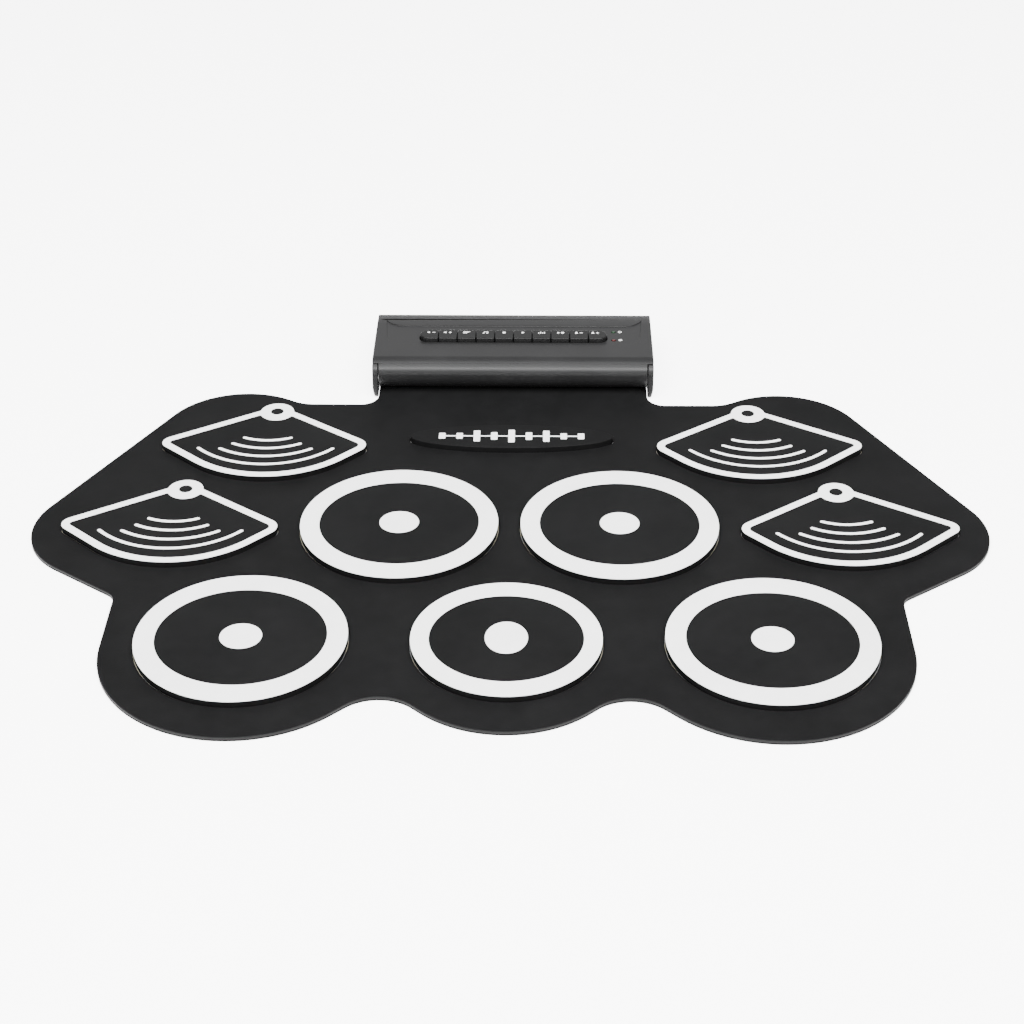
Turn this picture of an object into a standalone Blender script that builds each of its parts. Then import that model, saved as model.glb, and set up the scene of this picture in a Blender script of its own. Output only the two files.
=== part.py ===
"""Roll-up electronic drum kit: a black silicone mat with five drum pads and four cymbal pads,
held by its neck in a slim controller with ten keys.

Metres, +Z up, player at -Y.  The pieces are laid out round a frame empty that sits midway between
the two rows of drum pads; the empty is shifted so that the whole kit is centred on the origin.
"""
import math

import bmesh
import bpy
from mathutils import Matrix, Vector

MM = 0.001

# --- clearances ---------------------------------------------------------------------------------
FIT = 0.3 * MM            # between pieces that slip past or sit in one another
FILM_GAP = 0.15 * MM      # between the laminated layers of the mat
INLAY_GAP = 0.15 * MM     # between a white inlay and the pocket it is moulded into

# --- mat ----------------------------------------------------------------------------------------
BASE_SHEET = 0.6 * MM     # thickness of the lower silicone sheet
FILM = 0.15 * MM          # membrane circuit between the sheets
MAT_THICK = 2.2 * MM      # both sheets and the film
PAD_TOP = 5.0 * MM        # playing surface above the table
FILM_INSET = 6.0 * MM     # welded margin round the film

# Outline of the right half, anticlockwise from the front centre: (x, y, radius), where a positive
# radius is a convex lobe and a negative one a concave bay.
MIDDLE_LOBE = (0.0, -55.3, 51.0)
RIGHT_OUTLINE = (
    (52.3, -103.6, -20.0),
    (113.7, -50.2, 61.0),
    (182.8, -15.6, -8.0),
    (182.0, 43.0, 40.0),
    (135.5, 130.6, 40.0),
    (101.4, 180.1, -20.0),
)
NECK_CORNER = 9.0 * MM
NECK_ROOT_Y = 160.0 * MM  # back edge of the mat, where the neck starts
NECK_END_Y = 190.0 * MM
NECK_END_CORNER = 8.0 * MM

# --- pads ---------------------------------------------------------------------------------------
PAD_TRAVEL = 0.5 * MM
PAD_RADIUS = 46.0 * MM
CENTRE_PAD_RADIUS = 41.35 * MM
REAR_ROW = (51.2 * MM, 45.3 * MM)     # tom pads, +-x and y
FRONT_ROW = (114.1 * MM, -45.3 * MM)  # snare and floor tom, +-x and y
RING_INNER = (0.796, 0.738)           # inner edge of the white ring, shares of the pad's radius
DOT = (0.207, 0.207)                  # centre dot, shares of the pad's radius
CENTRE_DOT = (0.229, 0.288)
INLAY_THICK = 0.4 * MM
STEM_RADIUS = 1.2 * MM
RUNNER_WIDTH = 3.2 * MM
RUNNER_THICK = 0.8 * MM
RUNNER_LIFT = 0.4 * MM                # the runner stays this far inside the pad's underside

# --- cymbal fans (x is outboard, from the hub hole) ---------------------------------------------
REAR_CYMBAL = (118.7 * MM, 147.4 * MM)
SIDE_CYMBAL = (154.6 * MM, 73.4 * MM)
FAN_OUTLINE = ((0.0, 0.0, 4.9), (-40.4, -32.5, 6.7), (1.1, -10.4, 51.9), (47.9, -30.6, 5.6))
FAN_BAND = 4.2 * MM
HUB = (0.0, -1.2 * MM, 9.2 * MM)
HUB_HOLE = 2.9 * MM
HUB_FILLET = 1.0 * MM
WINDOW_CORNER = 0.6 * MM
STRIP_CENTRE_X = 2.0 * MM
STRIP_WIDTH = 2.4 * MM
FIRST_STRIP_Y = -28.5 * MM
STRIP_PITCH = 7.5 * MM
STRIP_ARCS = ((27.0 * MM, 25.0), (33.0 * MM, 30.0), (39.0 * MM, 35.0), (44.0 * MM, 48.5))

# --- nameplate ----------------------------------------------------------------------------------
PLATE_CENTRE_Y = 124.0 * MM
PLATE_SEMI_AXES = (50.2 * MM, 11.0 * MM)
MARK_BARS = 9
MARK_PITCH = 8.6 * MM
MARK_BAR_WIDTH = 3.2 * MM
MARK_LINE = 0.9 * MM

# --- controller housing -------------------------------------------------------------------------
END_SPACE = 23.45 * MM      # from the key row to the end of the housing
HOUSING_FRONT_Y = 172.0 * MM
HOUSING_REAR_Y = 230.0 * MM
HOUSING_TOP = 19.5 * MM
HOUSING_LIFT = 0.5 * MM     # the bottom stands off the table by its feet
NOSE_ROLL = 8.0 * MM
REAR_ROLL = 4.0 * MM
BOTTOM_ROLL = 2.0 * MM
WALL = 1.8 * MM
PARTING_EDGE = 0.2 * MM     # of the upper shell, under its socket holes
CHEEK_THICK = 3.0 * MM
CHEEK_EDGE = 0.5 * MM       # rounding of the cheek's edges
LID_SEAM_ANGLE = 50.0       # on the nose roll, where the lid's full width starts
LIP_LENGTH = 2.0 * MM
SHELL_FRONT_GAP = 2.0 * MM  # from the end of the neck to the lower shell

# --- keys and lamps -----------------------------------------------------------------------------
KEY_COUNT = 10
KEY_PITCH = 9.76 * MM
KEY_DEPTH = 9.1 * MM
KEY_Y = 200.5 * MM
KEY_PROUD = 2.0 * MM
KEY_TRAVEL = 0.6 * MM
KEY_EDGE = 0.4 * MM
KEY_FLANGE = 1.2 * MM
KEY_POST = 0.6 * MM         # below the flange
PANEL_DEPTH = 0.5 * MM
PANEL_FRONT_Y = 193.0 * MM
PANEL_BACK_Y = 213.4 * MM
PANEL_END = 9.2 * MM        # from the key row to the end of the panel
PANEL_FRONT_ROUND = 8.0 * MM
PANEL_FLARE = 10.0 * MM
LAMP_GAP = 3.5 * MM         # from the key row to the lamps
LAMP_YS = (207.7 * MM, 198.7 * MM)
LAMP_RADIUS = 1.0 * MM
LAMP_BASE_RADIUS = 1.5 * MM

# --- board and sockets --------------------------------------------------------------------------
BOARD_END_GAP = 2.3 * MM    # to the bosses beside it
BOARD_THICK = 1.6 * MM
BOARD_FRONT_Y = 194.5 * MM
BOARD_BACK_GAP = 0.5 * MM
SWITCH_SIDE = 6.0 * MM
SWITCH_HEIGHT = 3.4 * MM
PLUNGER_RADIUS = 1.6 * MM
PLUNGER_HEIGHT = 0.7 * MM
JACK_SIDE = 5.4 * MM
JACK_LENGTH = 13.0 * MM
JACK_BORE = 1.8 * MM
JACK_NOSE = 2.6 * MM
JACKS = (
    ("phones_jack", 14.0 * MM),
    ("line_in_jack", 0.0),
    ("kick_pedal_jack", -18.0 * MM),
    ("hihat_pedal_jack", -32.0 * MM),
)
USB_X = 34.0 * MM
USB_SIZE = (8.0 * MM, 6.5 * MM, 3.0 * MM)
USB_WALL = 0.4 * MM
SLIDER_X = -48.0 * MM
SLIDER_SIZE = (4.0 * MM, 2.2 * MM)
SLIDER_TRAVEL = 2.5 * MM
SLIDER_PROUD = 0.8 * MM
SLIDER_EDGE = 0.75 * MM      # of the plate behind the wall, past the knob
CONNECTOR_RISE = 3.4 * MM    # centre line of the sockets above the board

# --- fixings ------------------------------------------------------------------------------------
BOSS_RADIUS = 3.2 * MM
BOSS_INSET = 6.75 * MM      # from the inside of a cheek
BOSS_YS = (198.0 * MM, 222.0 * MM)
SCREW_RADIUS = 1.2 * MM
SCREW_HEAD_RADIUS = 2.4 * MM
SCREW_HEAD = 1.2 * MM
SCREW_TIP_Z = 13.0 * MM
FOOT_RADIUS = 4.0 * MM
FOOT_THICK = 1.1 * MM
FOOT_X = 48.0 * MM
CLAMP_INSET = 6.95 * MM     # from the end of the nose
CLAMP_BACK_Y = 190.0 * MM
CLAMP_DEPTH = 6.0 * MM
CLAMP_THICK = 2.0 * MM
PEG_RADIUS = 1.5 * MM
PEG_XS = (-54.0 * MM, -30.0 * MM, 30.0 * MM, 54.0 * MM)
TAIL_HALF = 18.0 * MM        # the film's tail, half its width
TAIL_ROOT = 12.0 * MM        # from the end of the neck
TAIL_LAP = 3.0 * MM          # under the board
RIB_INSET = 6.0 * MM         # of the tray's ribs, behind the board's front edge

# --- facets -------------------------------------------------------------------------------------
ARC_STEP = math.radians(15.0)
SMALL_ARC_STEP = math.radians(30.0)
SMALL_ROUND = 8.5 * MM
STRIP_STEP = 11.0            # degrees
END_STEPS = 2                # round a strip's end
TOUCH = 1e-6                 # slack for runs that meet exactly
PAD_SEGMENTS = 28
DOT_SEGMENTS = 14
STEM_SEGMENTS = 6
ROD_SEGMENTS = 10

PARTS = "electronic_drum_kit"
CUTTERS = "cutters"


# --- scene helpers ------------------------------------------------------------------------------
def clear_scene():
    for old in list(bpy.data.objects):
        bpy.data.objects.remove(old, do_unlink=True)


def collection(name):
    made = bpy.data.collections.new(name)
    bpy.context.scene.collection.children.link(made)
    return made


def frame_empty(parts, y):
    frame = bpy.data.objects.new("kit_frame", None)
    frame.location = (0.0, y, 0.0)
    parts.objects.link(frame)
    return frame


def material(name, colour, roughness, metallic=0.0):
    made = bpy.data.materials.new(name)
    made.use_nodes = True
    made.diffuse_color = (*colour, 1.0)
    shader = made.node_tree.nodes["Principled BSDF"]
    shader.inputs["Base Color"].default_value = (*colour, 1.0)
    shader.inputs["Roughness"].default_value = roughness
    shader.inputs["Metallic"].default_value = metallic
    return made


class Kit:
    """The collections, the frame and the materials that every piece goes into."""

    def __init__(self, frame_y):
        self.parts = collection(PARTS)
        self.cutters = collection(CUTTERS)
        self.frame = frame_empty(self.parts, frame_y)
        self.materials = {
            "silicone": material("black_silicone", (0.03, 0.03, 0.031), 0.62),
            "inlay": material("white_silicone", (0.85, 0.85, 0.84), 0.5),
            "housing": material("black_abs", (0.045, 0.045, 0.047), 0.38),
            "key": material("black_key", (0.03, 0.03, 0.031), 0.4),
            "film": material("clear_film", (0.55, 0.5, 0.35), 0.3),
            "board": material("green_board", (0.02, 0.16, 0.06), 0.45),
            "socket": material("socket_black", (0.015, 0.015, 0.015), 0.45),
            "steel": material("plated_steel", (0.6, 0.6, 0.62), 0.3, 1.0),
            "lamp": material("red_lamp", (0.35, 0.02, 0.02), 0.25),
            "rubber": material("foot_rubber", (0.02, 0.02, 0.02), 0.8),
        }

    def add(self, piece, slot):
        """Makes a finished piece one of the kit's parts."""
        piece.data.materials.clear()
        piece.data.materials.append(self.materials[slot])
        piece.parent = self.frame
        return piece


def mesh_object(kit, name, mesh, origin=(0.0, 0.0)):
    piece = bpy.data.objects.new(name, mesh)
    piece.location = (*origin, 0.0)
    kit.parts.objects.link(piece)
    mesh.shade_smooth()
    mesh.set_sharp_from_angle(angle=math.radians(35.0))
    return piece


# --- outlines -----------------------------------------------------------------------------------
def arc(centre, radius, start, end, steps):
    """Points on an arc, angles in degrees, both ends included."""
    angles = [math.radians(start + (end - start) * i / steps) for i in range(steps + 1)]
    return [(centre[0] + radius * math.cos(a), centre[1] + radius * math.sin(a)) for a in angles]


def ellipse(centre, semi_x, semi_y, segments):
    angles = [2 * math.pi * i / segments for i in range(segments)]
    return [(centre[0] + semi_x * math.cos(a), centre[1] + semi_y * math.sin(a)) for a in angles]


def edge_heading(start, end):
    """Direction of a belt's straight run from one disc to the next."""
    (x0, y0, r0), (x1, y1, r1) = start, end
    lean = (r1 - r0) / math.hypot(x1 - x0, y1 - y0)
    return math.atan2(y1 - y0, x1 - x0) - math.asin(max(-1.0, min(1.0, lean)))


def belt(discs, grow=0.0):
    """The outline of a belt pulled anticlockwise round discs (x, y, radius).  It runs outside a disc
    with a positive radius and passes inside one with a negative radius.  grow offsets it outwards."""
    discs = [(x, y, radius + grow) for x, y, radius in discs]
    headings = [edge_heading(start, end) for start, end in zip(discs, discs[1:] + discs[:1])]
    outline = []
    for i, (x, y, radius) in enumerate(discs):
        arriving, leaving = headings[i - 1], headings[i]
        turn = (leaving - arriving) % (2 * math.pi)
        if radius < 0:
            turn -= 2 * math.pi
        step_angle = ARC_STEP if abs(radius) > SMALL_ROUND else SMALL_ARC_STEP
        steps = max(1, math.ceil(abs(turn) / step_angle - TOUCH))
        for step in range(steps + 1):
            heading = arriving + turn * step / steps
            outline.append((x + radius * math.sin(heading), y - radius * math.cos(heading)))
    return outline


def mat_outline(grow=0.0):
    right = [(x * MM, y * MM, radius * MM) for x, y, radius in RIGHT_OUTLINE]
    right.append((NOSE_HALF + NECK_CORNER, NECK_ROOT_Y + NECK_CORNER, -NECK_CORNER))
    right.append((NOSE_HALF - NECK_END_CORNER, NECK_END_Y - NECK_END_CORNER, NECK_END_CORNER))
    middle = tuple(value * MM for value in MIDDLE_LOBE)
    left = [(-x, y, radius) for x, y, radius in reversed(right)]
    return belt([middle, *right, *left], grow)


def moved(points, x, y, side=1):
    """Points taken from a pad's own frame to the kit's; side -1 mirrors them to the left."""
    placed = [(x + side * px, y + py) for px, py in points]
    return placed if side > 0 else placed[::-1]


# --- solids -------------------------------------------------------------------------------------
def extruded(loops, low, high, matrix=Matrix(), edge=0.0):
    """A mesh made from flat closed loops, the later ones holes, extruded from low to high.
    edge rounds the rims of both faces."""
    curve = bpy.data.curves.new("outline", "CURVE")
    curve.dimensions = "2D"
    curve.fill_mode = "BOTH"
    curve.extrude = (high - low) / 2 - edge
    curve.bevel_depth = edge
    curve.bevel_resolution = 1
    curve.offset = -edge
    for loop in loops:
        spline = curve.splines.new("POLY")
        spline.points.add(len(loop) - 1)
        for point, (x, y) in zip(spline.points, loop):
            point.co = (x, y, 0.0, 1.0)
        spline.use_cyclic_u = True
    shape = bpy.data.objects.new("outline", curve)
    bpy.context.scene.collection.objects.link(shape)
    evaluated = shape.evaluated_get(bpy.context.evaluated_depsgraph_get())
    mesh = bpy.data.meshes.new_from_object(evaluated)
    bpy.data.objects.remove(shape)
    mesh.transform(matrix @ Matrix.Translation((0.0, 0.0, (low + high) / 2)))
    weld(mesh)
    return mesh


def weld(mesh):
    shell = bmesh.new()
    shell.from_mesh(mesh)
    bmesh.ops.remove_doubles(shell, verts=shell.verts, dist=0.002 * MM)
    bmesh.ops.recalc_face_normals(shell, faces=shell.faces)
    shell.to_mesh(mesh)
    shell.free()


# A section drawn as (y, z) and extruded along x.
ALONG_X = Matrix(((0, 0, 1, 0), (1, 0, 0, 0), (0, 1, 0, 0), (0, 0, 0, 1)))
# A section drawn as (x, z) and extruded along -y.
ALONG_Y = Matrix(((1, 0, 0, 0), (0, 0, -1, 0), (0, 1, 0, 0), (0, 0, 0, 1)))


def slab(kit, name, loops, low, high, edge=0.0, origin=(0.0, 0.0)):
    return mesh_object(kit, name, extruded(loops, low, high, edge=edge), origin)


def across(kit, name, section, left, right, edge=0.0):
    return mesh_object(kit, name, extruded([section], left, right, ALONG_X, edge))


def along_y(kit, name, section, front, back):
    return mesh_object(kit, name, extruded([section], -back, -front, ALONG_Y))


def rectangle(left, right, low, high):
    return [(left, low), (right, low), (right, high), (left, high)]


def block(kit, name, x_range, y_range, z_range):
    return slab(kit, name, [rectangle(*x_range, *y_range)], *z_range)


def rod(kit, name, centre, radius, low, high, segments=STEM_SEGMENTS, origin=(0.0, 0.0)):
    return slab(kit, name, [ellipse(centre, radius, radius, segments)], low, high, origin=origin)


def combine(kit, target, tool, operation):
    """A live Boolean; the tool becomes a hidden cutter that stays with its target.  Most pieces are flat
    layers that share levels, where the exact solver leaves open edges, so all use the manifold one."""
    tool.name = f"{target.name}.{tool.name}"
    tool.hide_render = True
    tool.display_type = "WIRE"
    kit.parts.objects.unlink(tool)
    kit.cutters.objects.link(tool)
    tool.parent = tool.parent or target.parent or kit.frame
    modifier = target.modifiers.new(tool.name, "BOOLEAN")
    modifier.operation = operation
    modifier.solver = "MANIFOLD"
    modifier.object = tool


def cut(kit, target, *tools):
    for tool in tools:
        combine(kit, target, tool, "DIFFERENCE")


def join(kit, target, *tools):
    for tool in tools:
        combine(kit, target, tool, "UNION")


# --- levels that several pieces share -----------------------------------------------------------
FILM_Z = BASE_SHEET + FILM_GAP
SHEET_Z = FILM_Z + FILM + FILM_GAP                # underside of the top sheet over the film
PAD_REST_Z = FILM_Z + FILM + FILM_GAP / 2 + PAD_TRAVEL
INLAY_Z = PAD_TOP - INLAY_THICK
RUNNER_Z = PAD_REST_Z + RUNNER_LIFT
LIP_Z = MAT_THICK + FIT                           # underside of the nose, over the neck
NOSE_RADIUS = min(NOSE_ROLL, (HOUSING_TOP - LIP_Z) / 2)
LINER_Z = HOUSING_TOP - WALL                      # underside of the lid
PANEL_Z = HOUSING_TOP - PANEL_DEPTH
FLANGE_TOP = LINER_Z - FIT
FLANGE_Z = FLANGE_TOP - WALL
POST_Z = FLANGE_Z - KEY_POST
PLUNGER_TOP = POST_Z - KEY_TRAVEL - FIT / 3
BOARD_TOP = PLUNGER_TOP - PLUNGER_HEIGHT - SWITCH_HEIGHT
BOARD_Z = BOARD_TOP - BOARD_THICK
CONNECTOR_Z = BOARD_TOP + CONNECTOR_RISE
PARTING_Z = CONNECTOR_Z - JACK_NOSE - FIT - PARTING_EDGE  # where the shells meet at the back

# --- spans that several pieces share ------------------------------------------------------------
SLOT_DEPTH = KEY_DEPTH + 2 * FIT
SLOT_HALF = KEY_COUNT * KEY_PITCH / 2
HOUSING_WIDTH = 2 * (SLOT_HALF + END_SPACE)
CHEEK_IN = HOUSING_WIDTH / 2 - CHEEK_THICK        # inner face of a cheek
NOSE_HALF = CHEEK_IN - FIT
PANEL_HALF = SLOT_HALF + PANEL_END
LAMP_X = SLOT_HALF + LAMP_GAP
BOSS_X = CHEEK_IN - BOSS_INSET
BOARD_HALF = BOSS_X - BOSS_RADIUS - BOARD_END_GAP
CLAMP_HALF = NOSE_HALF - CLAMP_INSET
SHELL_FRONT_Y = NECK_END_Y + SHELL_FRONT_GAP
PEG_Y = CLAMP_BACK_Y - CLAMP_DEPTH / 2
TAIL_ROOT_Y = NECK_END_Y - TAIL_ROOT
INNER_REAR_Y = HOUSING_REAR_Y - WALL


# --- mat ----------------------------------------------------------------------------------------
def drum_outline(radius):
    return ellipse((0.0, 0.0), radius, radius, PAD_SEGMENTS)


def hub_corner(start, end, hub, radius, leaving):
    """The disc that rounds the corner between the straight run from start to end and the hub."""
    heading = edge_heading(start, end)
    along = Vector((math.cos(heading), math.sin(heading)))
    outwards = Vector((math.sin(heading), -math.cos(heading)))
    base = Vector(start[:2]) + (start[2] - radius) * outwards
    away = base - Vector(hub[:2])
    reach = away.dot(along)
    root = math.sqrt(reach**2 - away.length_squared + (hub[2] - radius) ** 2)
    centre = base + (root - reach if leaving else -root - reach) * along
    return (*centre, radius)


def fan_discs(band, hub, corner):
    """The fan inside a band of this width.  A hub with a negative radius bites into it."""
    point, left, front, right = [(x * MM, y * MM, radius * MM - band) for x, y, radius in FAN_OUTLINE]
    arriving = hub_corner(right, point, hub, corner, False)
    leaving = hub_corner(point, left, hub, corner, True)
    return [hub, leaving, left, front, right, arriving]


def fan_outline(grow=0.0):
    return belt(fan_discs(0.0, HUB, -HUB_FILLET), grow)


def fan_window(grow=0.0):
    """Inner edge of the white frame: along the band, and round the hub."""
    hub_x, hub_y, hub_radius = HUB
    return belt(fan_discs(FAN_BAND, (hub_x, hub_y, -hub_radius), WINDOW_CORNER), grow)


def pad_places():
    """Name, place, side and outline function of every pad."""
    rear_x, rear_y = REAR_ROW
    front_x, front_y = FRONT_ROW
    drums = (
        ("snare_pad", -front_x, front_y, PAD_RADIUS, DOT),
        ("high_tom_pad", -rear_x, rear_y, PAD_RADIUS, DOT),
        ("middle_tom_pad", rear_x, rear_y, PAD_RADIUS, DOT),
        ("floor_tom_pad", front_x, front_y, PAD_RADIUS, DOT),
        ("centre_pad", 0.0, front_y, CENTRE_PAD_RADIUS, CENTRE_DOT),
    )
    cymbals = (
        ("hihat_pad", -SIDE_CYMBAL[0], SIDE_CYMBAL[1], -1),
        ("crash_pad", -REAR_CYMBAL[0], REAR_CYMBAL[1], -1),
        ("splash_pad", REAR_CYMBAL[0], REAR_CYMBAL[1], 1),
        ("ride_pad", SIDE_CYMBAL[0], SIDE_CYMBAL[1], 1),
    )
    return drums, cymbals


def peg_holes():
    return [ellipse((x, PEG_Y), PEG_RADIUS + FIT, PEG_RADIUS + FIT, STEM_SEGMENTS) for x in PEG_XS]


def base_sheet(kit):
    sheet = slab(kit, "base_sheet", [mat_outline(), *peg_holes()], 0.0, BASE_SHEET)
    return kit.add(sheet, "silicone")


def sensor_film(kit):
    """Membrane circuit: it fills the mat inside the welded margin, and its tail climbs to the board."""
    film = slab(kit, "sensor_film", [mat_outline(-FILM_INSET)], FILM_Z, FILM_Z + FILM)
    run = SHELL_FRONT_Y - FIT - FILM
    climb = BOARD_Z - FIT
    section = [
        (TAIL_ROOT_Y, FILM_Z),
        (run + FILM, FILM_Z),
        (run + FILM, climb - FILM),
        (BOARD_FRONT_Y + TAIL_LAP, climb - FILM),
        (BOARD_FRONT_Y + TAIL_LAP, climb),
        (run, climb),
        (run, FILM_Z + FILM),
        (TAIL_ROOT_Y, FILM_Z + FILM),
    ]
    tail = across(kit, "tail", section, -TAIL_HALF, TAIL_HALF)
    join(kit, film, tail)
    return kit.add(film, "film")


def top_sheet(kit):
    """Upper silicone sheet: a well round every pad, and a pocket underneath for the film."""
    drums, cymbals = pad_places()
    wells = [moved(drum_outline(radius + FIT), x, y) for _, x, y, radius, _ in drums]
    wells += [moved(fan_outline(FIT), x, y, side) for _, x, y, side in cymbals]
    wells.append(nameplate_outline(FIT))
    sheet = slab(kit, "top_sheet", [mat_outline(), *wells, *peg_holes()], FILM_Z, MAT_THICK)
    pocket = slab(kit, "film_pocket", [mat_outline(FILM_GAP - FILM_INSET)], 0.0, SHEET_Z)
    half = TAIL_HALF + FIT
    tail_way = block(kit, "tail_way", (-half, half), (TAIL_ROOT_Y, NECK_END_Y + FIT), (0.0, SHEET_Z))
    cut(kit, sheet, pocket, tail_way)
    return kit.add(sheet, "silicone")


# --- pads and their white inlays ----------------------------------------------------------------
def stem(kit, name, origin, x, y, grow):
    """A sprue from the runner under the pad up into the white layer."""
    low, high = RUNNER_Z + RUNNER_THICK / 2, INLAY_Z + INLAY_THICK / 2
    return rod(kit, name, (x, y), STEM_RADIUS + grow, low, high, origin=origin)


def runner(kit, origin, x, y_range, grow):
    """The bar of white silicone under the pad that the sprues rise from; as a cutter, open below."""
    half = RUNNER_WIDTH / 2 + grow
    low = RUNNER_Z if grow == 0.0 else 0.0
    section = rectangle(x - half, x + half, y_range[0] - half, y_range[1] + half)
    return slab(kit, "runner", [section], low, RUNNER_Z + RUNNER_THICK + grow, origin=origin)


def layer(kit, name, loops, origin, grow):
    """Part of the white layer; as a cutter, a little deeper and open above."""
    high = PAD_TOP if grow == 0.0 else PAD_TOP + MAT_THICK
    return slab(kit, name, loops, INLAY_Z - grow, high, origin=origin)


def drum_inlay(kit, name, origin, radius, dot, grow=0.0):
    """White ring and centre dot, joined by sprues to one runner."""
    rim = radius + (FIT + grow if grow else 0.0)
    opening = ellipse((0.0, 0.0), RING_INNER[0] * radius - grow, RING_INNER[1] * radius - grow, PAD_SEGMENTS)
    spot = ellipse((0.0, 0.0), dot[0] * radius + grow, dot[1] * radius + grow, DOT_SEGMENTS)
    ring_y = -radius * (1 + RING_INNER[1]) / 2
    inlay = layer(kit, name, [drum_outline(rim), opening], origin, grow)
    join(
        kit,
        inlay,
        layer(kit, "dot", [spot], origin, grow),
        stem(kit, "dot_sprue", origin, 0.0, 0.0, grow),
        stem(kit, "ring_sprue", origin, 0.0, ring_y, grow),
        runner(kit, origin, 0.0, (ring_y, 0.0), grow),
    )
    return inlay


def strip(radius, half_angle, y, grow):
    """Outline of one curved strip with round ends."""
    centre = (STRIP_CENTRE_X, y + radius)
    half = STRIP_WIDTH / 2 + grow
    first, last = -90.0 - half_angle, -90.0 + half_angle
    steps = max(3, round(half_angle / STRIP_STEP))
    ends = [arc(centre, radius, a, a, 1)[0] for a in (first, last)]
    outline = arc(centre, radius + half, first, last, steps)
    outline += arc(ends[1], half, last, last + 180.0, END_STEPS)[1:-1]
    outline += arc(centre, radius - half, last, first, steps)
    outline += arc(ends[0], half, first + 180.0, first + 360.0, END_STEPS)[1:-1]
    return outline


def fan_frame(side, grow):
    """Loops of the white frame: the fan's outer edge, and a window that leaves a band along it."""
    outer = fan_outline(FIT + grow if grow else 0.0)
    return [moved(outer, 0.0, 0.0, side), moved(fan_window(-grow), 0.0, 0.0, side)]


def cymbal_inlay(kit, name, origin, side, grow=0.0):
    """White fan frame with its hub ring and four curved strips, joined by sprues to one runner."""
    inlay = layer(kit, name, fan_frame(side, grow), origin, grow)
    sprue_x = side * STRIP_CENTRE_X
    sprue_ys = []
    for index, (radius, half_angle) in enumerate(STRIP_ARCS):
        y = FIRST_STRIP_Y - index * STRIP_PITCH
        outline = moved(strip(radius, half_angle, y, grow), 0.0, 0.0, side)
        join(kit, inlay, layer(kit, f"strip_{index + 1}", [outline], origin, grow))
        sprue_ys.append(y)
    _, front_y, front_radius = (value * MM for value in FAN_OUTLINE[2])
    sprue_ys.append(front_y - front_radius + FAN_BAND / 2)
    for index, y in enumerate(sprue_ys):
        join(kit, inlay, stem(kit, f"sprue_{index + 1}", origin, sprue_x, y, grow))
    join(kit, inlay, runner(kit, origin, sprue_x, (sprue_ys[-1], sprue_ys[0]), grow))
    if grow == 0.0:
        hole = rod(kit, "hub_hole", (0.0, 0.0), HUB_HOLE, 0.0, 2 * PAD_TOP, DOT_SEGMENTS, origin)
        cut(kit, inlay, hole)
    return inlay


def drum_pads(kit):
    for name, x, y, radius, dot in pad_places()[0]:
        origin = (x, y)
        pad = slab(kit, name, [drum_outline(radius)], PAD_REST_Z, PAD_TOP, origin=origin)
        kit.add(pad, "silicone")
        cut(kit, pad, drum_inlay(kit, "inlay_pocket", origin, radius, dot, INLAY_GAP))
        inlay = drum_inlay(kit, name.replace("pad", "inlay"), origin, radius, dot)
        kit.add(inlay, "inlay")


def cymbal_pads(kit):
    for name, x, y, side in pad_places()[1]:
        origin = (x, y)
        pad = slab(kit, name, [moved(fan_outline(), 0.0, 0.0, side)], PAD_REST_Z, PAD_TOP, origin=origin)
        kit.add(pad, "silicone")
        cut(kit, pad, cymbal_inlay(kit, "inlay_pocket", origin, side, INLAY_GAP))
        inlay = cymbal_inlay(kit, name.replace("pad", "inlay"), origin, side)
        kit.add(inlay, "inlay")


# --- nameplate ----------------------------------------------------------------------------------
def nameplate_outline(grow=0.0):
    semi_x, semi_y = PLATE_SEMI_AXES
    return ellipse((0.0, PLATE_CENTRE_Y), semi_x + grow, semi_y + grow, PAD_SEGMENTS)


def mark_bar_height(index):
    """A level-meter pattern: tall in the middle, and every second bar shorter."""
    across_plate = abs(index - (MARK_BARS - 1) / 2) / (MARK_BARS / 2)
    swell = math.cos(across_plate * math.pi / 2) ** 0.5
    return (11.0 if index % 2 == 0 else 6.5) * MM * swell + MARK_LINE


def nameplate_mark(kit, name, grow=0.0):
    """A row of level bars on one thin line."""
    length = (MARK_BARS - 1) * MARK_PITCH / 2
    half = MARK_LINE / 2 + grow
    line = rectangle(-length, length, PLATE_CENTRE_Y - half, PLATE_CENTRE_Y + half)
    mark = layer(kit, name, [line], (0.0, 0.0), grow)
    for index in range(MARK_BARS):
        x = index * MARK_PITCH - length
        half_bar = MARK_BAR_WIDTH / 2 + grow
        rise = mark_bar_height(index) / 2 + grow
        bar = rectangle(x - half_bar, x + half_bar, PLATE_CENTRE_Y - rise, PLATE_CENTRE_Y + rise)
        join(kit, mark, layer(kit, f"bar_{index + 1}", [bar], (0.0, 0.0), grow))
    return mark


def nameplate(kit):
    plate = slab(kit, "nameplate", [nameplate_outline()], PAD_REST_Z, PAD_TOP)
    kit.add(plate, "silicone")
    cut(kit, plate, nameplate_mark(kit, "mark_pocket", INLAY_GAP))
    kit.add(nameplate_mark(kit, "nameplate_mark"), "inlay")


# --- controller housing -------------------------------------------------------------------------
def roll_centre():
    return (HOUSING_FRONT_Y + NOSE_RADIUS, HOUSING_TOP - NOSE_RADIUS)


def rear_centre():
    return (HOUSING_REAR_Y - REAR_ROLL, HOUSING_TOP - REAR_ROLL)


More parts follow.
